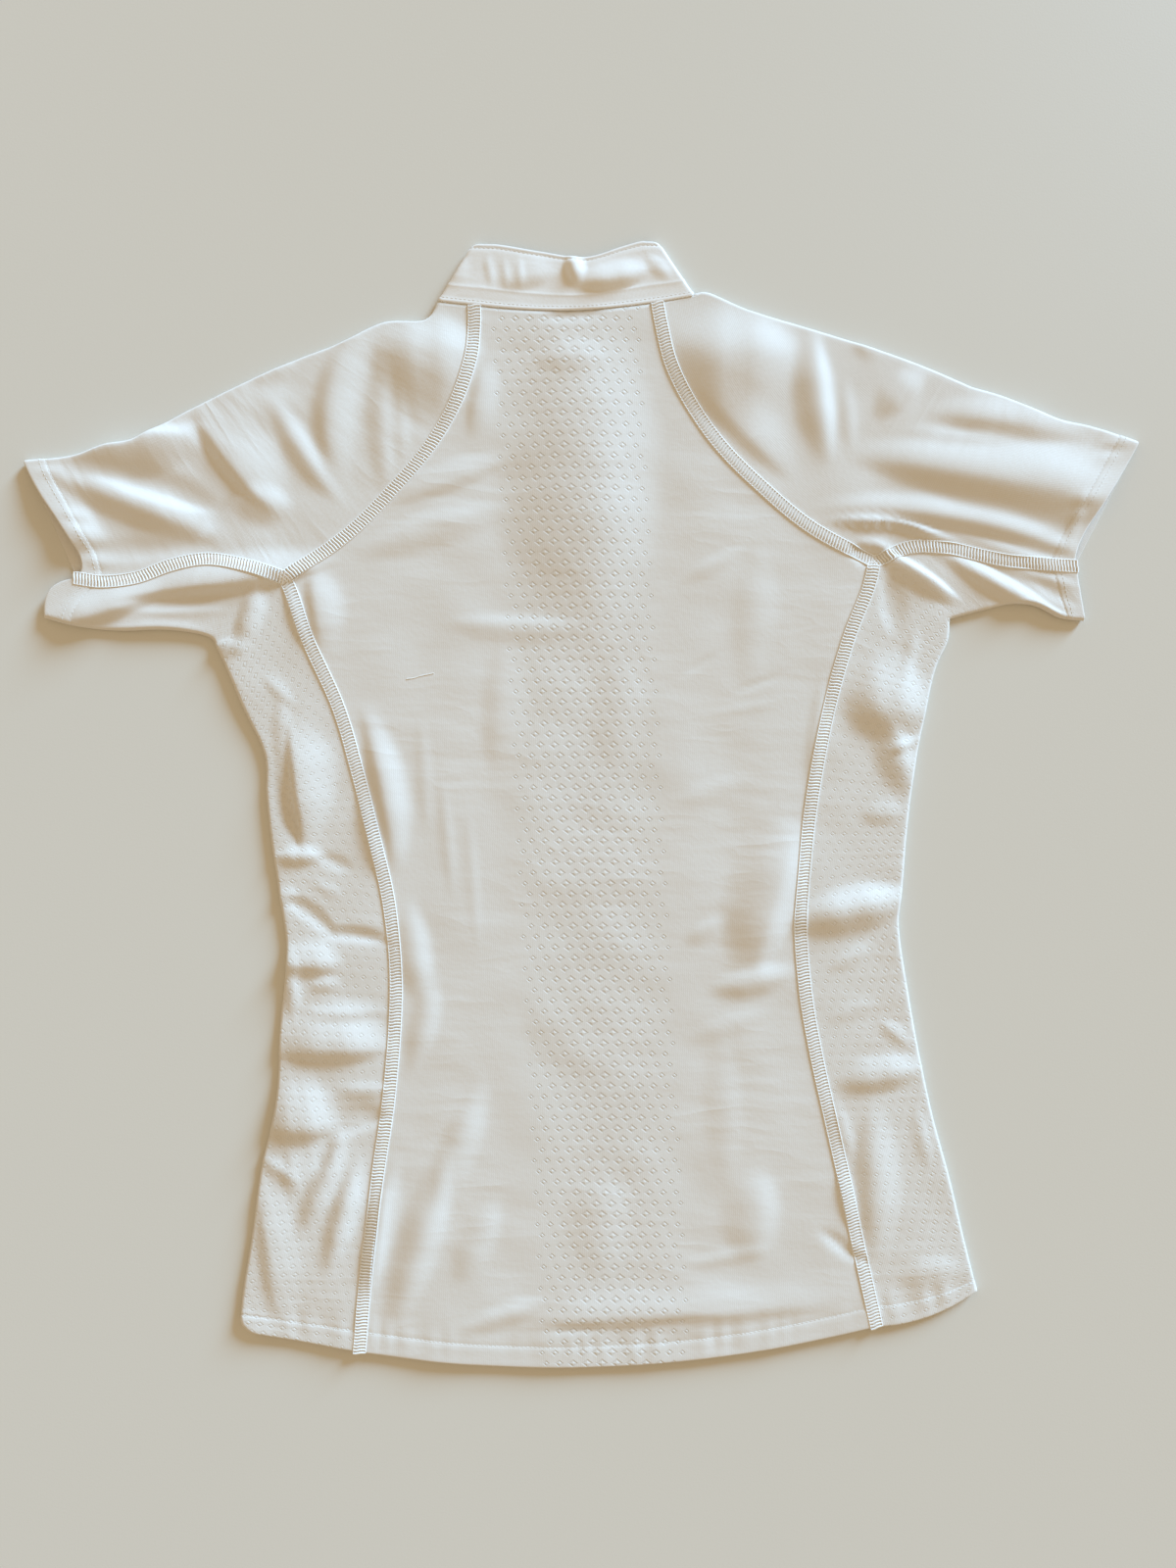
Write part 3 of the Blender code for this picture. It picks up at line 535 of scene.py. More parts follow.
def smooth_line(rows: Sequence[NamedTuple], column: int, places: np.ndarray) -> np.ndarray:
    """Rows on a smooth curve through the given ones.

    Args:
        rows: The rows that the curve goes through.
        column: The first of the two columns whose point sets the spacing.
        places: Where to read the curve, as shares of its length.

    Returns:
        One row for each place.
    """
    given = np.array(rows, float)
    ends = np.vstack([2 * given[0] - given[1], given, 2 * given[-1] - given[-2]])
    fine = []
    for a, b, c, d in zip(ends, ends[1:], ends[2:], ends[3:]):
        t = np.arange(0.0, 1.0, CURVE_STEP)[:, None]
        slope = (c - a) * t
        bend = (2 * a - 5 * b + 4 * c - d) * t**2
        twist = (3 * b - 3 * c + d - a) * t**3
        fine.append(b + 0.5 * (slope + bend + twist))
    points = np.vstack([*fine, given[-1:]])
    along = travelled(points[:, column : column + 2])
    return read_at(points, along, places * along[-1])


def stations(length: float, pitch: float, close: Sequence[float] = ()) -> np.ndarray:
    """Places along a piece, packed close where a hem's edge or stitch groove needs them.

    Args:
        length: The stretch's whole length.
        pitch: The usual step.
        close: Distances from the end that get a place of their own.

    Returns:
        Shares of the length, from 0 to 1.
    """
    usual = np.linspace(0.0, length, every(pitch, length) + 1)
    special = np.array([length - distance for distance in close])
    if len(special):
        apart = np.abs(usual[:, None] - special[None, :]).min(axis=1)
        usual = usual[(apart > CLOSEST_ROWS) | (usual == 0.0) | (usual == length)]
    return np.unique(np.concatenate([usual, special])) / length


def hem_steps(depth: float) -> list[float]:
    """Distances from a hem's edge that need a row of their own."""
    return [*EDGE_STEPS, *(depth + step for step in GROOVE_STEPS)]


@dataclass(frozen=True)
class Relief:
    """The height field of one layer: folds over a gently uneven ground, above what it lies on."""

    folds: tuple[Fold, ...]
    ground: float
    floor: float
    unevenness: float
    seed: int
    waves: int = 26
    shortest: float = 18.0
    longest: float = 90.0
    softness: float = 0.35

    def lifted(self, flat: np.ndarray) -> np.ndarray:
        """Points of the layer's middle over flat points.

        Args:
            flat: Flat points, with X and Y last.

        Returns:
            The points in space, in the same order.
        """
        shape = flat.shape[:-1]
        points = flat.reshape(-1, 2)
        moved = np.column_stack([points, np.full(len(points), self.ground)])
        for fold in self.folds:
            self.add_fold(fold, points, moved)
        moved[:, 2] += self.roughness(points)
        above = (moved[:, 2] - self.floor) / self.softness
        moved[:, 2] = self.floor + self.softness * np.logaddexp(0.0, above)
        return moved.reshape(*shape, 3)

    def add_fold(self, fold: Fold, points: np.ndarray, moved: np.ndarray) -> None:
        """Lift and push the points that one fold reaches.

        Args:
            fold: The fold.
            points: The flat points.
            moved: The points in space, which are changed.
        """
        start = np.array([fold.x0, fold.y0])
        run = np.array([fold.x1, fold.y1]) - start
        length = float(np.hypot(*run))
        way = run / length
        left = np.array([-way[1], way[0]])
        reach = fold.half_width * (1 + abs(fold.lean)) * (1 + abs(fold.flare)) + abs(fold.bow)
        along = (points - start) @ way
        across = (points - start) @ left
        touched = (along > 0) & (along < length) & (np.abs(across) < reach)
        t = along[touched] / length
        offset = across[touched] - fold.bow * 4 * t * (1 - t)
        ends = np.clip(np.minimum(t, 1 - t) / END_SHARE, 0.0, 1.0)
        ends = ends**2 * (3 - 2 * ends)
        sides = np.where(offset > 0, 1 - fold.lean, 1 + fold.lean) * (1 + fold.flare * (2 * t - 1))
        width = fold.half_width * sides * (0.5 + 0.5 * ends)
        share = np.clip(np.abs(offset) / width, 0.0, 1.0)
        profile = np.cos(share * math.pi / 2) ** fold.power * ends
        moved[touched, 2] += fold.height * profile
        moved[touched, :2] += left * (fold.push * profile**2)[:, None]

    def roughness(self, points: np.ndarray) -> np.ndarray:
        """A sum of slow waves in fixed directions, which keeps plain stretches from being flat."""
        source = np.random.default_rng(self.seed)
        total = np.zeros(len(points))
        for _ in range(self.waves):
            length = source.uniform(self.shortest, self.longest)
            turn = source.uniform(0.0, math.pi)
            phase = source.uniform(0.0, 2 * math.pi)
            way = np.array([math.cos(turn), math.sin(turn)])
            wave = np.sin(points @ way * 2 * math.pi / length + phase)
            total += wave * length / self.longest
        return total * self.unevenness / math.sqrt(self.waves)


UPPER = Relief(FOLDS, UPPER_MID, UPPER_FLOOR, 0.42, 7)
LOWER = Relief(UNDER_FOLDS, LOWER_MID, LOWER_FLOOR, 0.06, 11, softness=0.12)


def sideways(line: np.ndarray, towards: np.ndarray) -> np.ndarray:
    """At each point of an open line, the mitred step square to it that leads to a point.

    Args:
        line: Points of the line.
        towards: For each of them, a point on the side that the step leads to.

    Returns:
        Steps, longer than one at a corner.
    """
    ways = unit(np.diff(line, axis=0))
    before = np.vstack([ways[:1], ways])
    after = np.vstack([ways, ways[-1:]])
    both = before + after
    square = unit(np.column_stack([-both[:, 1], both[:, 0]]))
    facing = np.sum(square * (towards - line), axis=1, keepdims=True)
    square = np.where(facing > 0, square, -square)
    turn = np.abs(before[:, 0] * square[:, 1] - before[:, 1] * square[:, 0])
    return square / np.maximum(0.5, turn)[:, None]


def seam_side(line: np.ndarray, towards: np.ndarray) -> np.ndarray:
    """A seam line drawn in by half of the gap between two pieces."""
    return line + sideways(line, towards) * SEAM_HALF_GAP


@dataclass
class ClothGrid:
    """A piece of cloth as a grid: the middle of its wall, how thick it is and its own map."""

    middle: np.ndarray
    cover: np.ndarray
    lining: np.ndarray
    chart: np.ndarray
    keep: np.ndarray | None = None
    flip: bool = False

    def normals(self) -> np.ndarray:
        """Unit vectors out of the cloth's right side."""
        down = np.gradient(self.middle, axis=0)
        across = np.gradient(self.middle, axis=1)
        found = unit(np.cross(across, down))
        return -found if self.flip else found

    def outer(self) -> np.ndarray:
        """Points of the right side."""
        return self.middle + self.normals() * self.cover[..., None]

    def inner(self) -> np.ndarray:
        """Points of the wrong side."""
        return self.middle - self.normals() * self.lining[..., None]

    def quads(self) -> np.ndarray:
        """The kept faces of one side, as rows of four point numbers that face outwards."""
        rows, columns = self.middle.shape[:2]
        corner = np.arange(rows * columns).reshape(rows, columns)
        faces = np.stack(
            [corner[:-1, :-1], corner[:-1, 1:], corner[1:, 1:], corner[1:, :-1]], axis=-1
        ).reshape(-1, 4)
        if self.keep is not None:
            faces = faces[self.keep.reshape(-1)]
        return faces[:, ::-1] if self.flip else faces

    def area(self) -> float:
        """The middle surface's area in square metres."""
        points = self.middle.reshape(-1, 3)[self.quads()]
        first = np.cross(points[:, 1] - points[:, 0], points[:, 2] - points[:, 0])
        second = np.cross(points[:, 2] - points[:, 0], points[:, 3] - points[:, 0])
        both = np.linalg.norm(first, axis=1) + np.linalg.norm(second, axis=1)
        return float(both.sum() / 2 * MM * MM)

    def build(self, name: str, material: bpy.types.Material) -> bpy.types.Object:
        """Make the closed wall as an object.

        Args:
            name: The object's name.
            material: Its finish.

        Returns:
            The object, in metres at its place in the frame.
        """
        count = self.middle.shape[0] * self.middle.shape[1]
        front = self.quads()
        sides = np.vstack([front[:, [k, (k + 1) % 4]] for k in range(4)])
        keys = sides[:, 0] * count + sides[:, 1]
        back_keys = sides[:, 1] * count + sides[:, 0]
        rim = sides[~np.isin(back_keys, keys)]
        walls = np.column_stack([rim[:, 1], rim[:, 0], rim[:, 0] + count, rim[:, 1] + count])
        faces = np.vstack([front, front[:, ::-1] + count, walls])
        points = np.vstack([self.outer().reshape(-1, 3), self.inner().reshape(-1, 3)])
        chart = np.vstack([self.chart.reshape(-1, 2)] * 2)
        return mesh_object(name, points, faces, material, chart)


def mesh_object(
    name: str,
    points: np.ndarray,
    faces: np.ndarray,
    material: bpy.types.Material,
    chart: np.ndarray | None = None,
) -> bpy.types.Object:
    """A smooth mesh object in the frame, without the points that no face uses.

    Args:
        name: The object's name.
        points: Its points in the tables' millimetres.
        faces: Rows of point numbers.
        material: Its finish.
        chart: Each point's place on the cloth in metres, or None.

    Returns:
        The object.
    """
    used, faces_used = np.unique(faces, return_inverse=True)
    faces_used = faces_used.reshape(faces.shape)
    mesh = bpy.data.meshes.new(name)
    places = (points[used] + TABLE_SHIFT) * MM
    mesh.from_pydata(places.tolist(), [], faces_used.tolist())
    if chart is not None:
        layer = mesh.uv_layers.new(name=UV_NAME)
        layer.data.foreach_set("uv", chart[used][faces_used.reshape(-1)].reshape(-1))
    mesh.materials.append(material)
    mesh.shade_smooth()
    mesh.update()
    return placed(name, mesh)


def placed(name: str, data: bpy.types.ID) -> bpy.types.Object:
    """A new object in the scene, with this mesh, lamp or camera."""
    made = bpy.data.objects.new(name, data)
    bpy.context.scene.collection.objects.link(made)
    return made


def wrinkled_edge(distance: np.ndarray, along: np.ndarray, depth: float) -> np.ndarray:
    """Small puckers that a hem's stitching draws up, as a height at each point."""
    phase = along * 2 * math.pi / PUCKER_LENGTH
    for drift, length in PUCKER_DRIFTS:
        phase = phase + drift * np.sin(along / length)
    fading = 0.6 + 0.4 * np.sin(along / PUCKER_FADING)
    return PUCKER_HEIGHT * bell(distance - depth, PUCKER_REACH) * np.sin(phase) * fading


def hem_cover(distance: np.ndarray, depth: float, base: float) -> np.ndarray:
    """Thickness above the middle, with a turned-up hem and the groove of its stitches.

    Args:
        distance: How far each point is from the hem's edge.
        depth: How deep the hem is.
        base: The cloth's own half thickness.

    Returns:
        The thickness above the middle at each point.
    """
    doubled = DOUBLED * falling(distance, depth + STEP_PAST, STEP_SOFTNESS)
    groove = GROOVE_DEPTH * bell(distance - depth, GROOVE_WIDTH)
    rolled = ROLL_DEPTH * (1 - np.sqrt(1 - near(distance, ROLL_WIDTH) ** 2))
    return base + doubled - groove - rolled


@dataclass
class SideLines:
    """The seams and outlines of one side of the shirt, divided finely."""

    side: Side
    pitch: float = 2.6
    raglan_length: float = 228.0
    sleeve_length: float = 127.0
    flank_length: float = 472.0
    corner_reach: float = 16.0
    raglan: np.ndarray = field(init=False)
    sleeve: np.ndarray = field(init=False)
    flank: np.ndarray = field(init=False)

    def __post_init__(self) -> None:
        """Divide this side's tables."""
        cuff = stations(self.sleeve_length, self.pitch, hem_steps(CUFF_DEPTH))
        hem = stations(self.flank_length, self.pitch, hem_steps(HEM_DEPTH))
        even = stations(self.raglan_length, self.pitch)
        self.raglan = smooth_line(RAGLAN[self.side], 2, even)
        self.sleeve = smooth_line(SLEEVE[self.side], 2, cuff)
        self.flank = smooth_line(FLANK[self.side], 0, hem)

    def back_line(self) -> np.ndarray:
        """The back's seam, from the neck to the hem."""
        return np.vstack([self.raglan[:, 2:4], self.flank[1:, 0:2]])

    def front_line(self) -> np.ndarray:
        """The front's seam, from the neck to the hem."""
        return np.vstack([self.raglan[:, 4:6], self.flank[1:, 0:2]])

    def sleeve_back(self) -> np.ndarray:
        """The sleeve's back seam, from the neck round the armpit to the cuff."""
        return np.vstack([self.raglan[:, 2:4], self.sleeve[1:, 2:4]])

    def sleeve_front(self) -> np.ndarray:
        """The sleeve's front seam, from the neck round the armpit to the cuff."""
        return np.vstack([self.raglan[:, 4:6], self.sleeve[1:, 2:4]])

    def shoulder(self) -> np.ndarray:
        """The folded outline from the neck to the cuff."""
        return np.vstack([self.raglan[:, 0:2], self.sleeve[1:, 0:2]])

    def lower(self) -> np.ndarray:
        """The folded outline from the cuff round the armpit to the hem."""
        return np.vstack([self.sleeve[:0:-1, 4:6], self.flank[:, 2:4]])

    def lower_seam(self) -> np.ndarray:
        """The side panel's seam, from the cuff round the armpit to the hem."""
        return np.vstack([self.sleeve[:0:-1, 2:4], self.flank[:, 0:2]])

    def rim_fold(self) -> np.ndarray:
        """Where the collar's free rim folds over on this side."""
        return np.array(COLLAR_BACK[0 if self.side is Side.LEFT else -1][2:])

    def shoulder_in(self) -> np.ndarray:
        """Unit steps in from the shoulder's outline."""
        line = np.vstack([self.rim_fold(), self.shoulder()])
        seams = self.sleeve_back()
        return unit(sideways(line, np.vstack([seams[:1], seams]))[1:])

    def lower_in(self) -> np.ndarray:
        """Unit steps in from the lower outline, turned along the hem near its corner."""
        edge, seam = self.lower(), self.lower_seam()
        near_hem = near(remaining(edge), self.corner_reach)[:, None]
        return unit(mixed(unit(sideways(edge, seam)), unit(seam - edge), near_hem))


@dataclass(frozen=True)
class FoldedSection:
    """How a folded piece is divided across: over the top, round the turn and underneath.

    A skew under 1 moves the deepest point of its setback towards the seam.
    """

    over: int
    turn: int
    under: int
    skew: float = 1.0

    def underneath(self) -> slice:
        """The columns past the middle of the turn."""
        return slice(self.over + self.turn // 2, None)

    def build(
        self,
        seam: np.ndarray,
        edge: np.ndarray,
        inward: np.ndarray,
        front: np.ndarray,
        setback: np.ndarray,
    ) -> np.ndarray:
        """Middle points of every section of a folded piece.

        Args:
            seam: The back seam, a point for each section.
            edge: The folded outline.
            inward: Unit steps in from the outline.
            front: The front seam.
            setback: How far the middle of the upper layer is drawn back.

        Returns:
            A grid of points, a row for each section.
        """
        inner = edge + inward * TURN_DEPTH
        s = shares(self.over)[None]
        t = s**self.skew
        drawn_in = (4 * t * (1 - t)) ** (1 / self.skew)
        flat = mixed(seam[:, None], inner[:, None], s) + setback[:, None] * drawn_in
        top = UPPER.lifted(flat)
        low_flat = mixed(inner[:, None], front[:, None], shares(self.under)[None])
        low = LOWER.lifted(low_flat)
        angles = math.pi * (0.5 - np.arange(1, self.turn) / self.turn)
        middle = (top[:, -1, 2] + low[:, 0, 2]) / 2
        rise = (top[:, -1, 2] - low[:, 0, 2]) / 2
        reach = inward[:, None] * FOLD_RADIUS * np.cos(angles)[None, :, None]
        round_flat = mixed(top[:, -1:, :2], low[:, :1, :2], shares(self.turn)[None, 1:-1]) - reach
        round_z = middle[:, None] + rise[:, None] * np.sin(angles)[None]
        bend = np.concatenate([round_flat, round_z[..., None]], axis=2)
        return np.concatenate([top, bend, low], axis=1)


def cloth_chart(middle: np.ndarray) -> np.ndarray:
    """Each grid point's place on the cut cloth: across from the first column, and along it.

    Args:
        middle: The grid of middle points in millimetres.

    Returns:
        The places in metres.
    """
    steps = np.linalg.norm(np.diff(middle, axis=1), axis=2)
    across = np.concatenate([np.zeros((len(middle), 1)), np.cumsum(steps, axis=1)], axis=1)
    along = travelled(middle[:, 0])
    return np.stack([across, np.broadcast_to(along[:, None], across.shape)], axis=-1) * MM


class Sewn:
    """What every sewn piece shares: how its objects are handed to the frame."""

    def finish(self, piece: bpy.types.Object, slot: Slot) -> None:
        """Let a finished object ride on the shirt's one body."""
        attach(piece, BODY)
        log.info("%s: %d faces", piece.name, len(piece.data.polygons))

    def lay(
        self,
        piece: bpy.types.Object,
        slot: Slot,
        node: str,
        flat: tuple[float, float],
        area: float,
        rests_on: Sequence[str],
    ) -> None:
        """Hide the frame's node that a finished object stands for, and let the object ride on the
        body.

        Args:
            piece: The object.
            slot: Its material slot, which is not used.
            node: The frame's node that it replaces.
            flat: Width and length of the cut in metres, which is not used.
            area: The cut's area in square metres, which is not used.
            rests_on: The pieces under it, which are not used.
        """
        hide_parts(node)
        self.finish(piece, slot)


@dataclass
class BackPanel(Sewn):
    """The centre back, with its band of lozenges."""

    columns: int = 118
    flat: tuple[float, float] = (0.362, 0.646)
    band_top: tuple[float, float] = (-9.8, 284.0)
    band_foot: tuple[float, float] = (19.0, -307.0)
    grid: ClothGrid = field(init=False)

    def build(self, left: SideLines, right: SideLines, material: bpy.types.Material) -> None:
        """Make the piece.

        Args:
            left: The wearer's left seams.
            right: The wearer's right seams.
            material: The patterned knit whose lozenges fade out at the band's edge.
        """
        a, b = left.back_line(), right.back_line()
        a, b = seam_side(a, b), seam_side(b, a)
        share = travelled(a)[:, None, None] / travelled(a)[-1]
        sag = NECK_SAG + (HEM_SAG - NECK_SAG) * share
        s = shares(self.columns)[None]
        flat = mixed(a[:, None], b[:, None], s)
        flat[..., 1] -= (sag * 4 * s * (1 - s))[..., 0]
        distance = remaining(a)[:, None] + np.zeros(flat.shape[:2])
        middle = UPPER.lifted(flat)
        middle[..., 2] += wrinkled_edge(distance, flat[..., 0], HEM_DEPTH)
        cover = hem_cover(distance, HEM_DEPTH, CLOTH / 2)
        centre = np.interp(
            flat[..., 1],
            [self.band_foot[1], self.band_top[1]],
            [self.band_foot[0], self.band_top[0]],
        )
        chart = np.stack([flat[..., 0] - centre, flat[..., 1]], axis=-1) * MM
        self.grid = ClothGrid(middle, cover, np.full(cover.shape, CLOTH / 2), chart, flip=True)
        piece = self.grid.build("back_panel", material)
        self.lay(piece, Slot.PLAIN, "back", self.flat, self.grid.area(), ["front"])


@dataclass
class Sleeve(Sewn):
    """One sleeve's top piece, from the neck to the cuff and over the shoulder's fold."""

    lines: SideLines
    section: FoldedSection = FoldedSection(40, 8, 26, 0.5)
    flat: tuple[float, float] = (0.232, 0.362)
    setback: dict[Side, float] = field(default_factory=lambda: {Side.LEFT: 9.5, Side.RIGHT: 5.0})
    setback_reach: float = 60.0
    grid: ClothGrid = field(init=False)

    def build(self, material: bpy.types.Material) -> None:
        """Make the piece in its plain knit."""
        lines, half = self.lines, UNDER_CLOTH / 2
        shoulder = lines.shoulder()
        backs = seam_side(lines.sleeve_back(), shoulder)
        fronts = seam_side(lines.sleeve_front(), shoulder)
        distance = remaining(backs)
        pull = near(distance, self.setback_reach) ** 2 * self.setback[lines.side]
        setback = unit(backs[-4] - backs[-1])[None] * pull[:, None]
        middle = self.section.build(backs, shoulder, lines.shoulder_in(), fronts, setback)
        zero = np.zeros(middle.shape[:2])
        cuff = distance[:, None] + zero
        chart = cloth_chart(middle)
        ruck = wrinkled_edge(cuff, chart[..., 0] / MM, CUFF_DEPTH)
        middle[..., 2] += np.where(middle[..., 2] > LOWER_TOP, ruck, 0.0)
        cover = hem_cover(cuff, CUFF_DEPTH, half)
        cover[:, self.section.underneath()] = half
        self.grid = ClothGrid(middle, cover, zero + half, chart, flip=lines.side is Side.RIGHT)
        piece = self.grid.build(f"sleeve_top_{lines.side.value}", material)
        node = f"sleeve_{lines.side.value}"
        self.lay(piece, Slot.PLAIN, node, self.flat, self.grid.area(), ["back"])


@dataclass
class SidePanel(Sewn):
    """One side's panel, under the sleeve and down to the hem, in patterned knit."""

    lines: SideLines
    section: FoldedSection = FoldedSection(26, 8, 18)
    flat: tuple[float, float] = (0.158, 0.612)
    hem_sag: dict[Side, float] = field(default_factory=lambda: {Side.LEFT: 0.0, Side.RIGHT: 5.0})
    cuff_bulge: dict[Side, float] = field(default_factory=lambda: {Side.LEFT: 7.0, Side.RIGHT: 0.0})
    sag_reach: float = 60.0
    bulge_reach: float = 40.0
    grid: ClothGrid = field(init=False)

    def build(self, material: bpy.types.Material) -> None:
        """Make the piece in its patterned knit."""
        lines, half = self.lines, UNDER_CLOTH / 2
        lower = lines.lower()
        seams = seam_side(lines.lower_seam(), lower)
        to_cuff, to_hem = travelled(seams), remaining(seams)
        setback = np.zeros_like(seams)
        setback[:, 1] = -near(to_hem, self.sag_reach) ** 2 * self.hem_sag[lines.side]
        end = unit(lower[0] - seams[0])
        bulge = near(to_cuff, self.bulge_reach) ** 2 * self.cuff_bulge[lines.side]
        setback += np.array([end[1], -end[0]]) * bulge[:, None]
        middle = self.section.build(seams, lower, lines.lower_in(), seams, setback)
        zero = np.zeros(middle.shape[:2])
        hem, cuff = to_hem[:, None] + zero, to_cuff[:, None] + zero
        chart = cloth_chart(middle)
        ruck = wrinkled_edge(hem, chart[..., 0] / MM, HEM_DEPTH)
        middle[..., 2] += np.where(middle[..., 2] > LOWER_TOP, ruck, 0.0)
        cover = hem_cover(hem, HEM_DEPTH, half) + hem_cover(cuff, CUFF_DEPTH, half) - half
        cover[:, self.section.underneath()] = half
        self.grid = ClothGrid(middle, cover, zero + half, chart, flip=lines.side is Side.RIGHT)
        piece = self.grid.build(f"side_{lines.side.value}", material)
        node = f"side_panel_{lines.side.value}"
        self.lay(piece, Slot.PATTERNED, node, self.flat, self.grid.area(), ["front"])


@dataclass
class FrontPanel(Sewn):
    """The front body, face down, with the slot that the opening's strips are let into."""

    placket_centre: float = -8.7
    placket_width: float = 12.0
    placket_end: float = 55.0
    foot_below_armpit: float = 75.0
    middle_half: float = 1.0
    hem_bow: float = 9.0
    neck_columns: int = 44
    strip_pitch: float = 2.4
    strip_columns: int = 8
    flat: tuple[float, float] = (0.362, 0.628)
    grid: ClothGrid = field(init=False)

    def inner_line(self, side: Side, rows: int) -> np.ndarray:
        """The inner edge of one half down to the slot's foot: the neck seam and the slot's side.

        Args:
            side: The wearer's side.
            rows: How many points it gets.

        Returns:
            The points, from the neck's corner to the slot's foot.
        """
        slot_x = self.placket_centre + side.way * (self.placket_width + SEAM_HALF_GAP)
        neck = smooth_line(COLLAR_FRONT[side], 0, np.linspace(0, 1, 41))[:, :2]
        neck = neck[(neck[:, 0] - slot_x) * side.way > 0]
        corner_y = np.interp(slot_x, *self.neck_curve())
        end_y = self.placket_end + SEAM_HALF_GAP
        bend = np.vstack([neck, [(slot_x, corner_y), (slot_x, end_y)]])
        bend[:, 1] -= SEAM_HALF_GAP
        along = travelled(bend)
        return read_at(bend, along, np.linspace(0, along[-1], rows))

    def neck_curve(self) -> tuple[np.ndarray, np.ndarray]:
        """The front neck seam as X and Y values, from left to right."""
        rows = COLLAR_FRONT[Side.LEFT] + COLLAR_FRONT[Side.RIGHT][::-1]
        return np.array([row.neck_x for row in rows]), np.array([row.neck_y for row in rows])

    def build(self, left: SideLines, right: SideLines, material: bpy.types.Material) -> None:
        """Make the piece.

        Args:
            left: The wearer's left seams.
            right: The wearer's right seams.
            material: The plain knit.
        """
        a, b = left.front_line(), right.front_line()
        a, b = seam_side(a, b), seam_side(b, a)
        foot = left.raglan_length + self.foot_below_armpit
        slot_rows = int(np.searchsorted(travelled(a), foot))
        drop = shares(len(a) - slot_rows - 1)
        bow = np.zeros((len(a), 1, 1))
        bow[slot_rows:, :, 0] = self.hem_bow * drop
        s = shares(self.neck_columns)[None]
        hem_middle = (a[-1] + b[-1]) / 2 + np.array([0.0, -HEM_SAG])
        halves = []
        for side, line in ((Side.LEFT, a), (Side.RIGHT, b)):
            aside = side.way * self.middle_half
            start = np.array([self.placket_centre + aside, self.placket_end - SEAM_HALF_GAP])
            end = np.array([hem_middle[0] + aside, hem_middle[1]])
            inner = np.vstack([self.inner_line(side, slot_rows), mixed(start, end, drop)])
            points = mixed(line[:, None], inner[:, None], s)
            points[..., 1] -= (bow * s * (1 - s))[..., 0]
            halves.append(points)
        flat = np.concatenate([halves[0], halves[1][:, ::-1]], axis=1)
        middle = LOWER.lifted(flat)
        keep = np.ones((len(a) - 1, flat.shape[1] - 1), bool)
        keep[:slot_rows, self.neck_columns] = False
        half = np.full(middle.shape[:2], UNDER_CLOTH / 2)
        distance = remaining(a)[:, None] + np.zeros(half.shape)
        cover = np.minimum(hem_cover(distance, HEM_DEPTH, UNDER_CLOTH / 2), half)
        self.grid = ClothGrid(middle, cover, half, flat * MM, keep)
        piece = self.grid.build("front_panel", material)
        self.lay(piece, Slot.PLAIN, "front", self.flat, self.grid.area(), [])

    def build_strips(self, material: bpy.types.Material) -> list[ClothGrid]:
        """Make the two strips of the opening, which meet at its middle.

        Args:
            material: The collar's cloth.

        Returns:
            Their grids, the wearer's left one first.
        """
        grids = []
        for side in Side:
            inside = self.placket_centre + side.way * SEAM_HALF_GAP
            outside = self.placket_centre + side.way * (self.placket_width - SEAM_HALF_GAP)
            tops = np.interp([inside, outside], *self.neck_curve()) - SEAM_HALF_GAP
            end = self.placket_end + SEAM_HALF_GAP
            length = float(tops.mean()) - end
            s = shares(every(self.strip_pitch, length))[:, None]
            t = shares(self.strip_columns)[None]
            top = mixed(np.array([inside, tops[0]]), np.array([outside, tops[1]]), t)
            foot = mixed(np.array([inside, end]), np.array([outside, end]), t)
            flat = mixed(top, foot, s)
            middle = LOWER.lifted(flat)
            half = np.full(middle.shape[:2], UNDER_CLOTH / 2)
            grid = ClothGrid(middle, half, half, flat * MM, flip=side is Side.LEFT)
            piece = grid.build(f"opening_strip_{side.value}", material)
            size = (self.placket_width * MM, length * MM)
            node = f"placket_{side.value}"
            self.lay(piece, Slot.COLLAR, node, size, min(grid.area(), size[0] * size[1]), [])
            grids.append(grid)
        return grids


class Press(NamedTuple):
    """A ridge along the collar, or a groove where the height is negative."""

    at: float
    height: float
    width: float


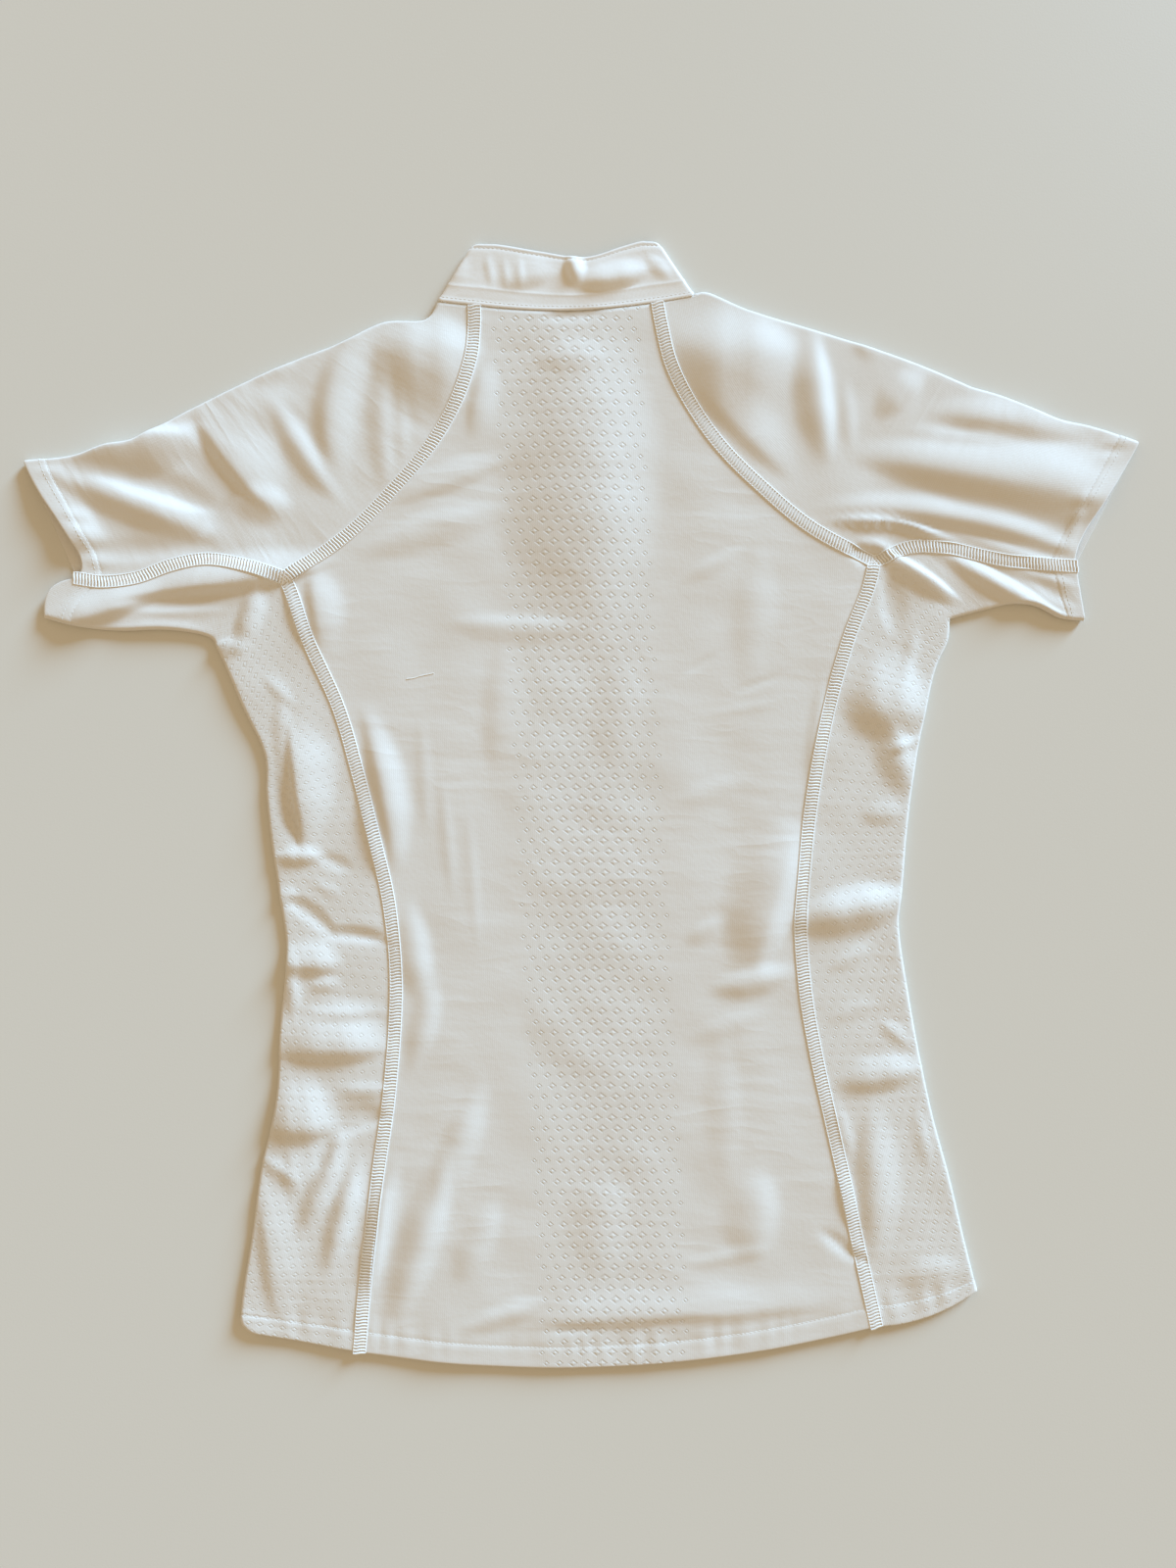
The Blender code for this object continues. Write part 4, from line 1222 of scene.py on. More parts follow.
@dataclass
class Collar(Sewn):
    """The stand collar, one band from the front opening round the back to the front again."""

    left: SideLines
    right: SideLines
    height: float = 33.0
    ridge: float = 9.2
    neck_row: float = 2.4
    rim_row: float = 2.2
    doubled: float = 0.2
    upper_from: float = LOWER_MID + 1.2
    upper_softness: float = 0.3
    most_area: float = 0.0149
    corner: float = 3.4
    over: int = 12
    turn: int = 8
    under: int = 12
    back: int = 70
    front: int = 40
    flat: tuple[float, float] = (0.395, 0.038)
    grid: ClothGrid = field(init=False)

    def fractions(self) -> np.ndarray:
        """Shares of the height from the neck seam to the rim, close at the seam and the rim."""
        low = [0.0, 0.3, 0.8, 1.5, self.neck_row]
        press = [self.ridge + step for step in (-2.0, -1.1, -0.5, 0.0, 0.5, 1.1, 2.0)]
        rim = [self.height - step for step in (3.4, 2.7, self.rim_row, 1.7, 1.1, 0.5, 0.15, 0.0)]
        fill = [4.0, 5.6, 12.8, 14.6, 16.5, 18.4, 20.3, 22.2, 24.1, 26.0, 27.9]
        return np.array(sorted(low + press + rim + fill)) / self.height

    def presses(self) -> tuple[Press, ...]:
        """The seam's lip, the pressed ridge, the rim's stitch groove and its rolled edge."""
        return (
            Press(0.9, 0.4, 0.9),
            Press(self.ridge, 0.2, 0.9),
            Press(self.height - self.rim_row, -0.3, 0.7),
            Press(self.height, -0.35, 0.5),
        )

    def half(self, lines: SideLines, fraction: float) -> tuple[np.ndarray, ...]:
        """One side's stretch at one height, from the back to the opening.

        Args:
            lines: That side's seams.
            fraction: The share of the way up.

        Returns:
            Middle points of the upper layer, of the turn and of the lower layer.
        """
        rows = COLLAR_BACK if lines.side is Side.LEFT else COLLAR_BACK[::-1]
        along_rim = unit(np.array(rows[1][2:]) - lines.rim_fold())
        inward = unit(mixed(lines.shoulder_in()[0], along_rim, fraction))
        near_rim = max(0.0, 1 - (1 - fraction) * self.height / self.corner)
        rounding = self.corner * (1 - math.sqrt(1 - near_rim**2))
        edge = mixed(lines.shoulder()[0], lines.rim_fold(), fraction) + inward * rounding
        inner = edge + inward * TURN_DEPTH
        over_end = mixed(lines.raglan[0, 2:4], np.array(rows[1][2:]), fraction)
        top = UPPER.lifted(mixed(over_end, inner, shares(self.over)[1:]))
        ahead = smooth_line(COLLAR_FRONT[lines.side], 0, np.linspace(0, 1, self.front + 1))
        ahead = mixed(ahead[:, 0:2], ahead[:, 2:4], fraction)
        low_flat = np.vstack([mixed(inner, ahead[0], shares(self.under)[:-1]), ahead])
        low = LOWER.lifted(low_flat)
        angles = math.pi * (0.5 - np.arange(1, self.turn) / self.turn)
        middle, rise = (top[-1, 2] + low[0, 2]) / 2, (top[-1, 2] - low[0, 2]) / 2
        bend = np.column_stack(
            [
                inner - inward * FOLD_RADIUS * np.cos(angles)[:, None],
                middle + rise * np.sin(angles),
            ]
        )
        return top, bend, low

    def ring(self, fraction: float) -> np.ndarray:
        """Middle points at one height, from the left opening round the back to the right one."""
        top, bend, low = self.half(self.left, fraction)
        parts = [low[::-1], bend[::-1], top[::-1]]
        s = shares(self.back)
        neck = mixed(self.left.raglan[0, 2:4], self.right.raglan[0, 2:4], s)
        neck[:, 1] -= (NECK_SAG * 4 * s * (1 - s))[:, 0]
        table = smooth_line(COLLAR_BACK, 0, np.linspace(0, 1, 61))
        rim = read_at(table[:, 2:4], table[:, 0], neck[:, 0])
        neck[:, 1] += SEAM_HALF_GAP
        parts.append(UPPER.lifted(mixed(neck, rim, fraction)))
        top, bend, low = self.half(self.right, fraction)
        return np.vstack([*parts, top, bend, low])

    def build(self, material: bpy.types.Material) -> None:
        """Make the piece in its doubled cloth."""
        fractions = self.fractions()
        middle = np.array([self.ring(fraction) for fraction in fractions])
        height = fractions[:, None] * self.height + np.zeros(middle.shape[:2])
        upper = 1 - falling(middle[..., 2], self.upper_from, self.upper_softness)
        extra = self.doubled
        for press in self.presses():
            extra = extra + press.height * bell(height - press.at, press.width)
        cover = UNDER_CLOTH / 2 + extra * upper
        lining = np.full(cover.shape, UNDER_CLOTH / 2)
        chart = cloth_chart(middle.transpose(1, 0, 2)).transpose(1, 0, 2)[..., ::-1]
        self.grid = ClothGrid(middle, cover, lining, chart)
        piece = self.grid.build("stand_collar", material)
        area = min(self.grid.area(), self.most_area)
        self.lay(piece, Slot.COLLAR, "collar", self.flat, area, ["back"])


@dataclass(frozen=True)
class SeamPath:
    """A line on the cloth for sewing: flat points of one layer, and which way is out."""

    flat: np.ndarray
    layer: Relief
    out: float
    cover: float
    slope_step: float = 0.8
    half_stitch: float = 3.0

    def resampled(self, pitch: float) -> "SeamPath":
        """The same line with evenly spaced points."""
        along = travelled(self.flat)
        wanted = np.linspace(0, along[-1], every(pitch, along[-1]) + 1)
        return SeamPath(read_at(self.flat, along, wanted), self.layer, self.out, self.cover)

    def across(self) -> np.ndarray:
        """Flat unit steps to the left of the line."""
        way = unit(np.gradient(self.flat, axis=0))
        return np.column_stack([-way[:, 1], way[:, 0]])

    def at(self, offset: float, lift: float) -> np.ndarray:
        """Points beside the line and above the cloth's surface.

        Args:
            offset: How far to the left of the line.
            lift: How far above the cloth.

        Returns:
            The points in space.
        """
        flat = self.flat + self.across() * offset
        base = self.layer.lifted(flat)
        east = self.layer.lifted(flat + np.array([self.slope_step, 0.0])) - base
        north = self.layer.lifted(flat + np.array([0.0, self.slope_step])) - base
        normal = unit(np.cross(east, north)) * self.out
        return base + normal * (self.cover + lift)

    def ups(self) -> np.ndarray:
        """Unit vectors out of the cloth along the line, smoothed over a stitch's width."""
        across = self.at(self.half_stitch, 0.0) - self.at(-self.half_stitch, 0.0)
        ahead = np.gradient(self.at(0.0, 0.0), axis=0)
        normal = unit(np.cross(ahead, across))
        return np.where(normal[:, 2:] * self.out > 0, normal, -normal)


class NodeKit:
    """Adds nodes to a tree: one method for every type, and shorthands for sockets."""

    def __init__(self, tree: bpy.types.NodeTree) -> None:
        """Start with an empty tree."""
        self.tree = tree
        tree.nodes.clear()

    def node(
        self, kind: str, settings: dict[str, Any] | None = None, **values: Any
    ) -> bpy.types.Node:
        """Add a node of any type.

        Args:
            kind: The node's type name.
            settings: Its own settings, set before its sockets.
            **values: Socket names, with spaces as underscores, or numbers after "at_".

        Returns:
            The node.
        """
        made = self.tree.nodes.new(kind)
        for name, value in (settings or {}).items():
            setattr(made, name, value)
        for name, value in values.items():
            key = int(name[3:]) if name.startswith("at_") else name.replace("_", " ")
            self.put(made.inputs[key], value)
        return made

    def put(self, socket: bpy.types.NodeSocket, value: Any) -> None:
        """Give a socket a number, a colour, or a link from a node, socket or value."""
        if isinstance(value, Value):
            value = value.socket
        if isinstance(value, bpy.types.Node):
            value = next(out for out in value.outputs if out.enabled)
        if isinstance(value, bpy.types.NodeSocket):
            self.tree.links.new(value, socket)
        else:
            socket.default_value = value

    def value(self, node: bpy.types.Node, name: str | int = 0) -> "Value":
        """One of a node's outputs as a value that Python's operators work on."""
        return Value(self, node.outputs[name])

    def vector(self, x: Any, y: Any, z: Any) -> bpy.types.Node:
        """A vector from three numbers or values."""
        return self.node("ShaderNodeCombineXYZ", X=x, Y=y, Z=z)

    def mix(self, factor: Any, a: Any, b: Any) -> bpy.types.NodeSocket:
        """Mix two colours.

        Args:
            factor: How much of the second.
            a: The first colour, as a tuple or a socket.
            b: The second colour.

        Returns:
            The mixed colour's socket.
        """
        made = self.node("ShaderNodeMix", {"data_type": "RGBA"})
        for key, given in ((0, factor), (6, a), (7, b)):
            self.put(made.inputs[key], (*given, 1.0) if isinstance(given, tuple) else given)
        return made.outputs[2]

    def noise(self, place: Any, scale: float, detail: float) -> "Value":
        """Noise over a place, from 0 to 1."""
        made = self.node("ShaderNodeTexNoise", Vector=place, Scale=scale, Detail=detail)
        return self.value(made)

    def surface(self, height: Any, **sockets: Any) -> None:
        """End a material in a surface with these sockets, raised by a height in metres."""
        bump = self.node("ShaderNodeBump", Strength=1.0, Distance=1.0, Height=height)
        skin = self.node("ShaderNodeBsdfPrincipled", Normal=bump, **sockets)
        self.node("ShaderNodeOutputMaterial", Surface=skin)


class Value:
    """A socket that carries a number, with Python's operators as Math nodes."""

    def __init__(self, kit: NodeKit, socket: bpy.types.NodeSocket) -> None:
        self.kit = kit
        self.socket = socket

    def math(self, operation: str, *others: "Value | float", first: bool = True) -> "Value":
        """Add a Math node.

        Args:
            operation: Its operation.
            *others: Its other values.
            first: Whether this value goes in front of them.

        Returns:
            The result.
        """
        given = [self, *others] if first else [*others, self]
        values = {f"at_{k}": value for k, value in enumerate(given)}
        made = self.kit.node("ShaderNodeMath", {"operation": operation}, **values)
        return Value(self.kit, made.outputs[0])

    def __add__(self, other: "Value | float") -> "Value":
        """Sum."""
        return self.math("ADD", other)

    __radd__ = __add__

    def __sub__(self, other: "Value | float") -> "Value":
        """Difference."""
        return self.math("SUBTRACT", other)

    def __rsub__(self, other: float) -> "Value":
        """Difference from a number."""
        return self.math("SUBTRACT", other, first=False)

    def __mul__(self, other: "Value | float") -> "Value":
        """Product."""
        return self.math("MULTIPLY", other)

    __rmul__ = __mul__

    def __truediv__(self, other: "Value | float") -> "Value":
        """Quotient."""
        return self.math("DIVIDE", other)

    def __neg__(self) -> "Value":
        """Opposite."""
        return self.math("MULTIPLY", -1.0)

    def __abs__(self) -> "Value":
        """Size without sign."""
        return self.math("ABSOLUTE")

    def floor(self) -> "Value":
        """Whole part."""
        return self.math("FLOOR")

    def fraction(self) -> "Value":
        """Part after the point."""
        return self.math("FRACT")

    def sine(self) -> "Value":
        """Sine."""
        return self.math("SINE")

    def below(self, edge: float, soft: float) -> "Value":
        """1 under an edge and 0 over it, with a soft step.

        Args:
            edge: Where the step is.
            soft: How wide it is.

        Returns:
            The mask.
        """
        made = self.kit.node(
            "ShaderNodeMapRange",
            {"interpolation_type": "SMOOTHSTEP"},
            Value=self,
            From_Min=edge - soft / 2,
            From_Max=edge + soft / 2,
            To_Min=1.0,
            To_Max=0.0,
        )
        return Value(self.kit, made.outputs[0])


@dataclass(frozen=True)
class StitchTree:
    """A Geometry Nodes tree with named inputs, which runs along a path with an "up"."""

    name: str
    inputs: tuple[tuple[str, float], ...]

    def start(self) -> tuple[bpy.types.NodeTree, NodeKit, bpy.types.Node]:
        """Make the tree and its inputs.

        Returns:
            The tree, its kit and its input node.
        """
        tree = bpy.data.node_groups.new(self.name, "GeometryNodeTree")
        face = tree.interface
        face.new_socket("Geometry", in_out="OUTPUT", socket_type="NodeSocketGeometry")
        face.new_socket("Geometry", in_out="INPUT", socket_type="NodeSocketGeometry")
        for name, usual in self.inputs:
            made = face.new_socket(name, in_out="INPUT", socket_type="NodeSocketFloat")
            made.default_value = usual
        face.new_socket("Material", in_out="INPUT", socket_type="NodeSocketMaterial")
        kit = NodeKit(tree)
        return tree, kit, kit.node("NodeGroupInput")

    def close(self, kit: NodeKit, given: bpy.types.Node, geometry: Any) -> None:
        """End the tree in realized instances with their material.

        Args:
            kit: The tree's kit.
            given: Its input node.
            geometry: What it has made.
        """
        real = kit.node("GeometryNodeRealizeInstances", Geometry=geometry)
        smooth = kit.node("GeometryNodeSetShadeSmooth", Geometry=real)
        paint = kit.node(
            "GeometryNodeSetMaterial", Geometry=smooth, Material=given.outputs["Material"]
        )
        kit.node("NodeGroupOutput", Geometry=paint)

    def strand(
        self, kit: NodeKit, given: bpy.types.Node, curve: bpy.types.Node, sides: int
    ) -> bpy.types.Node:
        """A thread round a curve, as thick as the tree's input says."""
        thread = given.outputs["Thread"]
        profile = kit.node("GeometryNodeCurvePrimitiveCircle", Resolution=sides, Radius=thread)
        return kit.node(
            "GeometryNodeCurveToMesh", Curve=curve, Profile_Curve=profile, Fill_Caps=True
        )

    def repeated(
        self, kit: NodeKit, given: bpy.types.Node, sides: int, **bend: bpy.types.Node
    ) -> bpy.types.Node:
        """One bent thread at each pitch of the path.

        Args:
            kit: The tree's kit.
            given: Its input node.
            sides: How finely the thread is divided, along it and round it.
            **bend: Its ends and handles.

        Returns:
            The threads, as instances.
        """
        curve = kit.node("GeometryNodeMeshToCurve", Mesh=given.outputs["Geometry"])
        pitch = given.outputs["Pitch"]
        points = kit.node("GeometryNodeResampleCurve", {"mode": "LENGTH"}, Curve=curve, Length=pitch)
        segment = "GeometryNodeCurvePrimitiveBezierSegment"
        bent = kit.node(segment, {"mode": "POSITION"}, Resolution=sides, **bend)
        return kit.node(
            "GeometryNodeInstanceOnPoints",
            Points=points,
            Instance=self.strand(kit, given, bent, sides),
            Rotation=facing(kit),
        )


def facing(kit: NodeKit) -> bpy.types.Node:
    """The rotation that turns Z to the path's up and X along it."""
    up = kit.node("GeometryNodeInputNamedAttribute", {"data_type": "FLOAT_VECTOR"}, Name="up")
    settings = {"primary_axis": "Z", "secondary_axis": "X"}
    tangent = kit.node("GeometryNodeInputTangent")
    return kit.node(
        "FunctionNodeAxesToRotation",
        settings,
        at_0=up.outputs["Attribute"],
        at_1=tangent,
    )


def flat_seam_tree() -> bpy.types.NodeTree:
    """Threads that cross a flat seam: one S-shaped thread for each pitch of the path."""
    recipe = StitchTree(
        "flat seam threads",
        (
            ("Pitch", 0.00185),
            ("Half Width", 0.0034),
            ("Shift", 0.00085),
            ("Rise", 0.0006),
            ("Thread", 0.00036),
        ),
    )
    tree, kit, given = recipe.start()
    half = kit.value(given, "Half Width")
    shift = kit.value(given, "Shift")
    rise = kit.value(given, "Rise")
    laid = recipe.repeated(
        kit,
        given,
        5,
        Start=kit.vector(0.0, half, 0.0),
        Start_Handle=kit.vector(shift * -0.1, half * -0.55, rise * 1.7),
        End_Handle=kit.vector(shift * 1.1, half * 0.15, rise * 1.7),
        End=kit.vector(shift, -half, 0.0),
    )
    recipe.close(kit, given, laid)
    return tree


def running_tree() -> bpy.types.NodeTree:
    """A row of short stitches that dip into the cloth at both ends."""
    recipe = StitchTree(
        "running stitches",
        (("Pitch", 0.0026), ("Length", 0.0018), ("Rise", 0.00016), ("Thread", 0.00014)),
    )
    tree, kit, given = recipe.start()
    long = kit.value(given, "Length")
    rise = kit.value(given, "Rise")
    laid = recipe.repeated(
        kit,
        given,
        4,
        Start=kit.vector(long * -0.5, 0.0, rise * -0.7),
        Start_Handle=kit.vector(long * -0.3, 0.0, rise),
        End_Handle=kit.vector(long * 0.3, 0.0, rise),
        End=kit.vector(long * 0.5, 0.0, rise * -0.7),
    )
    recipe.close(kit, given, laid)
    return tree


def tube_tree() -> bpy.types.NodeTree:
    """A thread that runs along a path, such as a seam's rail."""
    recipe = StitchTree("rail thread", (("Thread", 0.00036),))
    tree, kit, given = recipe.start()
    curve = kit.node("GeometryNodeMeshToCurve", Mesh=given.outputs["Geometry"])
    recipe.close(kit, given, recipe.strand(kit, given, curve, 5))
    return tree


@dataclass
class Needlework(Sewn):
    """Makes the sewing: flat seams with their tape, rails and threads, and stitch rows."""

    thread: bpy.types.Material
    fine_thread: bpy.types.Material
    # The seam band's material: its darker colour is painted shade for the gaps between the threads
    tape: bpy.types.Material
    band: float = 3.55
    rail_radius: float = 0.36
    thread_radius: float = 0.68
    rise: float = 0.16
    overhang: float = 0.35
    sunk: float = 0.35
    band_height: float = 0.42
    band_fall: float = 0.57
    band_points: int = 9
    flattened: float = 0.24
    rail_lift: float = 0.22
    thread_lift: float = 0.1
    band_pitch: float = 1.6
    rail_pitch: float = 1.2
    loose_pitch: float = 1.0
    seam_threads: bpy.types.NodeTree = field(default_factory=flat_seam_tree)
    row_threads: bpy.types.NodeTree = field(default_factory=running_tree)
    rails: bpy.types.NodeTree = field(default_factory=tube_tree)

    def guide(self, points: np.ndarray, ups: np.ndarray) -> bpy.types.Object:
        """A path object for a stitch tree.

        Args:
            points: Its points in the tables' millimetres.
            ups: The way out of the cloth at each point.

        Returns:
            The object, which a tree then grows on.
        """
        mesh = bpy.data.meshes.new("path")
        edges = [(k, k + 1) for k in range(len(points) - 1)]
        mesh.from_pydata(((points + TABLE_SHIFT) * MM).tolist(), edges, [])
        up = mesh.attributes.new("up", "FLOAT_VECTOR", "POINT")
        up.data.foreach_set("vector", ups.reshape(-1))
        return placed("path", mesh)

    def grown(
        self,
        guide: bpy.types.Object,
        tree: bpy.types.NodeTree,
        material: bpy.types.Material,
        sizes: dict[str, float] | None = None,
    ) -> bpy.types.Object:
        """Run a tree on a path and turn the result into a plain mesh.

        Args:
            guide: The path, which becomes the result.
            tree: The Geometry Nodes tree.
            material: The thread's finish.
            sizes: The tree's inputs by name, in metres, where they aren't the usual ones.

        Returns:
            The object.
        """
        grower = guide.modifiers.new("grow", "NODES")
        grower.node_group = tree
        given = {**(sizes or {}), "Material": material}
        for item in tree.interface.items_tree:
            if item.in_out == "INPUT" and item.name in given:
                grower[item.identifier] = given[item.name]
        graph = bpy.context.evaluated_depsgraph_get()
        mesh = bpy.data.meshes.new_from_object(guide.evaluated_get(graph))
        guide.modifiers.remove(grower)
        guide.data = mesh
        return guide

    def joined(self, parts: Sequence[bpy.types.Object]) -> bpy.types.Object:
        """Join mesh objects into the first of them."""
        with bpy.context.temp_override(
            active_object=parts[0], selected_editable_objects=list(parts)
        ):
            bpy.ops.object.join()
        return parts[0]

    def keep(self, name: str, piece: bpy.types.Object) -> None:
        """Name a finished piece of sewing and hand it to the frame."""
        piece.name = name
        piece.data.name = name
        self.finish(piece, Slot.PLAIN)

    def tape_band(self, name: str, path: SeamPath) -> bpy.types.Object:
        """The low band of cloth edges under a flat seam's threads.

        Args:
            name: Its name.
            path: The seam.

        Returns:
            The object.
        """
        line = path.resampled(self.band_pitch)
        reach = self.band + self.overhang
        offsets = np.linspace(-reach, reach, self.band_points)
        press = self.pressed(path)
        rows = [line.at(offset, self.tape_lift(offset) * press) for offset in offsets]
        rows += [line.at(offset, -self.sunk) for offset in offsets[::-1]]
        points = np.array(rows)
        ring, count = points.shape[:2]
        corner = np.arange(ring * count).reshape(ring, count)
        ahead = np.roll(corner, -1, axis=0)
        faces = np.stack(
            [corner[:, :-1], ahead[:, :-1], ahead[:, 1:], corner[:, 1:]], axis=-1
        ).reshape(-1, 4)
        if path.out > 0:
            faces = faces[:, ::-1]
        chart = np.stack(
            np.broadcast_arrays(
                np.concatenate([offsets, offsets[::-1]])[:, None],
                travelled(line.flat)[None, :],
            ),
            axis=-1,
        )
        # The band's darker material paints the shade that falls in the gaps between the threads
        return mesh_object(name, points.reshape(-1, 3), faces, self.tape, chart.reshape(-1, 2) * MM)

    def pressed(self, path: SeamPath) -> float:
        """How much of its height a seam keeps: the ones that the shirt lies on are flatter."""
        return 1.0 if path.out > 0 else self.flattened

    def tape_lift(self, offset: float) -> float:
        """Height of the band's back above the cloth, at this distance from its middle."""
        return self.band_height - self.band_fall * abs(offset / (self.band + self.overhang)) ** 4

    def flat_seam(self, name: str, path: SeamPath) -> None:
        """Sew a flat seam along a path: band, two rails and the threads across it.

        Args:
            name: The seam's name.
            path: Where it runs.
        """
        self.finish(self.tape_band(f"{name}_band", path), Slot.PLAIN)
        fine = path.resampled(self.rail_pitch)
        press = self.pressed(path)
        rails = []
        for offset in (-self.band, self.band):
            guide = self.guide(fine.at(offset, self.rail_lift * press), fine.ups())
            size = {"Thread": self.rail_radius * press * MM}
            rails.append(self.grown(guide, self.rails, self.thread, size))
        guide = self.guide(fine.at(0.0, self.thread_lift * press), fine.ups())
        sizes = {
            "Half Width": self.band * MM,
            "Rise": self.rise * press * MM,
            "Thread": self.thread_radius * press * MM,
        }
        threads = self.grown(guide, self.seam_threads, self.thread, sizes)
        self.keep(f"{name}_threads", self.joined([threads, *rails]))

    def row(self, name: str, points: np.ndarray, ups: np.ndarray) -> None:
        """Sew a row of short stitches along points on the cloth.

        Args:
            name: The row's name.
            points: Where it runs.
            ups: The way out of the cloth at each point.
        """
        guide = self.guide(points, ups)
        self.keep(name, self.grown(guide, self.row_threads, self.fine_thread))

    def loose(self, name: str, path: SeamPath, radius: float) -> None:
        """Lay one pulled thread on the cloth.

        Args:
            name: The thread's name.
            path: Where it lies.
            radius: How thick it is.
        """
        line = path.resampled(self.loose_pitch)
        guide = self.guide(line.at(0.0, radius / 2), line.ups())
        self.keep(name, self.grown(guide, self.rails, self.thread, {"Thread": radius * MM}))


Colour = tuple[float, float, float]


def new_material(name: str) -> tuple[bpy.types.Material, NodeKit]:
    material = bpy.data.materials.new(name)
    material.use_nodes = True
    return material, NodeKit(material.node_tree)


class Spread(Enum):
    """How lozenges are spread over a piece."""

    BAND = "a band down the middle, smaller towards its edges"
    SIDE = "all over, smaller towards the seam"


@dataclass(frozen=True)
class Lozenges:
    """A generic repeat of sunk lozenges with a raised point, each row a third further on."""

    spread: Spread
    column: float = 0.0088
    row: float = 0.0063
    half_width: float = 0.0035
    half_height: float = 0.0027
    band_half: float = 0.047
    drop: float = 1 / 3
    # Share of the darker sunk colour in the outlines: the pattern's greyer lines, with painted shade
    # in their sunk grooves
    tint: float = 0.26
    depth: float = 0.00013

    def masks(self, kit: NodeKit, u: Value, v: Value) -> tuple[Value, Value]:
        """The lozenges' outlines and points.

        Args:
            kit: The material's kit.
            u: Metres across the cloth.
            v: Metres along it.

        Returns:
            The mask of the outlines and that of the points.
        """
        if self.spread is Spread.BAND:
            spaced = u * (1.0 + (u * u) * (0.08 / self.band_half**2))
        else:
            spaced = u
        line = v / self.row
        shift = line.floor() * self.drop
        cell = spaced / self.column + shift
        centre = (cell.floor() + 0.5 - shift) * self.column
        if self.spread is Spread.BAND:
            share = abs(centre) / self.band_half
            size = 1.0 - share * share * 0.45
            inside = share.below(1.0, 0.02)
        else:
            size = 0.6 + centre.math("MINIMUM", 0.045) * (0.4 / 0.045)
            inside = 1.0 - v.below(0.115, 0.07) * 0.75
        away = abs(cell.fraction() - 0.5) * (self.column / self.half_width)
        away = (away + abs(line.fraction() - 0.5) * (self.row / self.half_height)) / size
        outline = (away.below(0.98, 0.3) - away.below(0.52, 0.3)) * inside
        return outline, away.below(0.3, 0.3) * inside


@dataclass(frozen=True)
class Knit:
    """A fine off-white knit with a little sheen."""

    name: str
    colour: Colour = (0.805, 0.784, 0.75)
    shade: Colour = (0.77, 0.744, 0.70)
    # Colour of the lozenges' outlines: the pattern's greyer tone, with painted shade for their sunk
    # grooves
    sunk: Colour = (0.60, 0.565, 0.50)
    roughness: float = 0.62
    sheen: float = 0.8
    wale: float = 0.0011
    course: float = 0.0009
    stitch_depth: float = 0.000022
    grain_depth: float = 0.00007
    slub_depth: float = 0.00016
    cloud_depth: float = 0.0009
    crease_depth: float = 0.0012
    lozenges: Lozenges | None = None

    def build(self) -> bpy.types.Material:
        """Make the material on the cloth's own map."""
        material, kit = new_material(self.name)
        place = kit.node("ShaderNodeUVMap", {"uv_map": UV_NAME})
        apart = kit.node("ShaderNodeSeparateXYZ", Vector=place)
        u, v = kit.value(apart, 0), kit.value(apart, 1)
        cloud = kit.noise(place, 14.0, 3.0)
        grain = kit.noise(place, 420.0, 2.0)
        slub = self.drawn(kit, place, (30.0, 90.0, 1.0), 0.0)
        crease = abs(self.drawn(kit, place, (13.0, 48.0, 1.0), 0.45) - 0.5)
        crease = crease * (1.0 - cloud.below(0.5, 0.3))
        wales = (u * (2 * math.pi / self.wale)).sine()
        courses = (v * (2 * math.pi / self.course)).sine()
        height = (wales * courses * 0.6 + wales * 0.4) * self.stitch_depth
        height = height + grain * self.grain_depth + slub * self.slub_depth
        height = height + cloud * self.cloud_depth - crease * self.crease_depth
        colour = kit.mix(cloud.below(0.5, 0.5) * 0.55, self.colour, self.shade)
        colour = kit.mix(grain.below(0.42, 0.3) * 0.10, colour, self.shade)
        if self.lozenges:
            outline, point = self.lozenges.masks(kit, u, v)
            # Darken the outlines: the pattern's own greyer lines, with painted shade in the grooves
            # that the bump sinks
            colour = kit.mix(outline * self.lozenges.tint, colour, self.sunk)
            depth = self.lozenges.depth
            height = height - outline * depth + point * (depth * 0.6)
        kit.surface(
            height,
            Base_Color=colour,
            Roughness=grain * 0.12 + (self.roughness - 0.06),
            Sheen_Weight=self.sheen,
            Sheen_Roughness=0.45,
            Specular_IOR_Level=0.35,
        )
        return material

    def drawn(
        self, kit: NodeKit, place: Any, scale: tuple[float, float, float], turn: float
    ) -> Value:
        """Noise drawn out one way of the cloth, for slubs and faint drag lines.

        Args:
            kit: The material's kit.
            place: The cloth's own map.
            scale: How fine the noise is, each way.
            turn: How far its lines are turned, in radians.

        Returns:
            The noise, from 0 to 1.
        """
        rotation = (0.0, 0.0, turn)
        turned = kit.node("ShaderNodeMapping", Vector=place, Rotation=rotation, Scale=scale)
        return kit.noise(turned, 1.0, 2.0)


@dataclass(frozen=True)
class Thread:
    """Bright sewing thread with a twist."""

    name: str = "sewing thread"
    colour: Colour = (0.93, 0.925, 0.91)
    shade: Colour = (0.84, 0.83, 0.80)

    def build(self) -> bpy.types.Material:
        """Make the material on object coordinates."""
        material, kit = new_material(self.name)
        place = kit.node("ShaderNodeTexCoord").outputs["Object"]
        twist = kit.noise(place, 1900.0, 2.0)
        colour = kit.mix(twist.below(0.45, 0.3) * 0.5, self.colour, self.shade)
        roughness = 0.45 + twist * 0.1
        kit.surface(twist * 0.0001, Base_Color=colour, Roughness=roughness, Sheen_Weight=0.2)
        return material


@dataclass(frozen=True)
class TableTop:
    """A pale laminate with a faint cloudiness."""

    name: str = "pale table"
    colour: Colour = (0.76, 0.742, 0.685)
    shade: Colour = (0.74, 0.722, 0.665)

    def build(self) -> bpy.types.Material:
        """Make the material on object coordinates."""
        material, kit = new_material(self.name)
        place = kit.node("ShaderNodeTexCoord").outputs["Object"]
        cloud = kit.noise(place, 3.0, 3.0)
        height = kit.noise(place, 900.0, 1.0) * 0.00002
        colour = kit.mix(cloud, self.colour, self.shade)
        kit.surface(height, Base_Color=colour, Roughness=0.42 + cloud * 0.08)
        return material


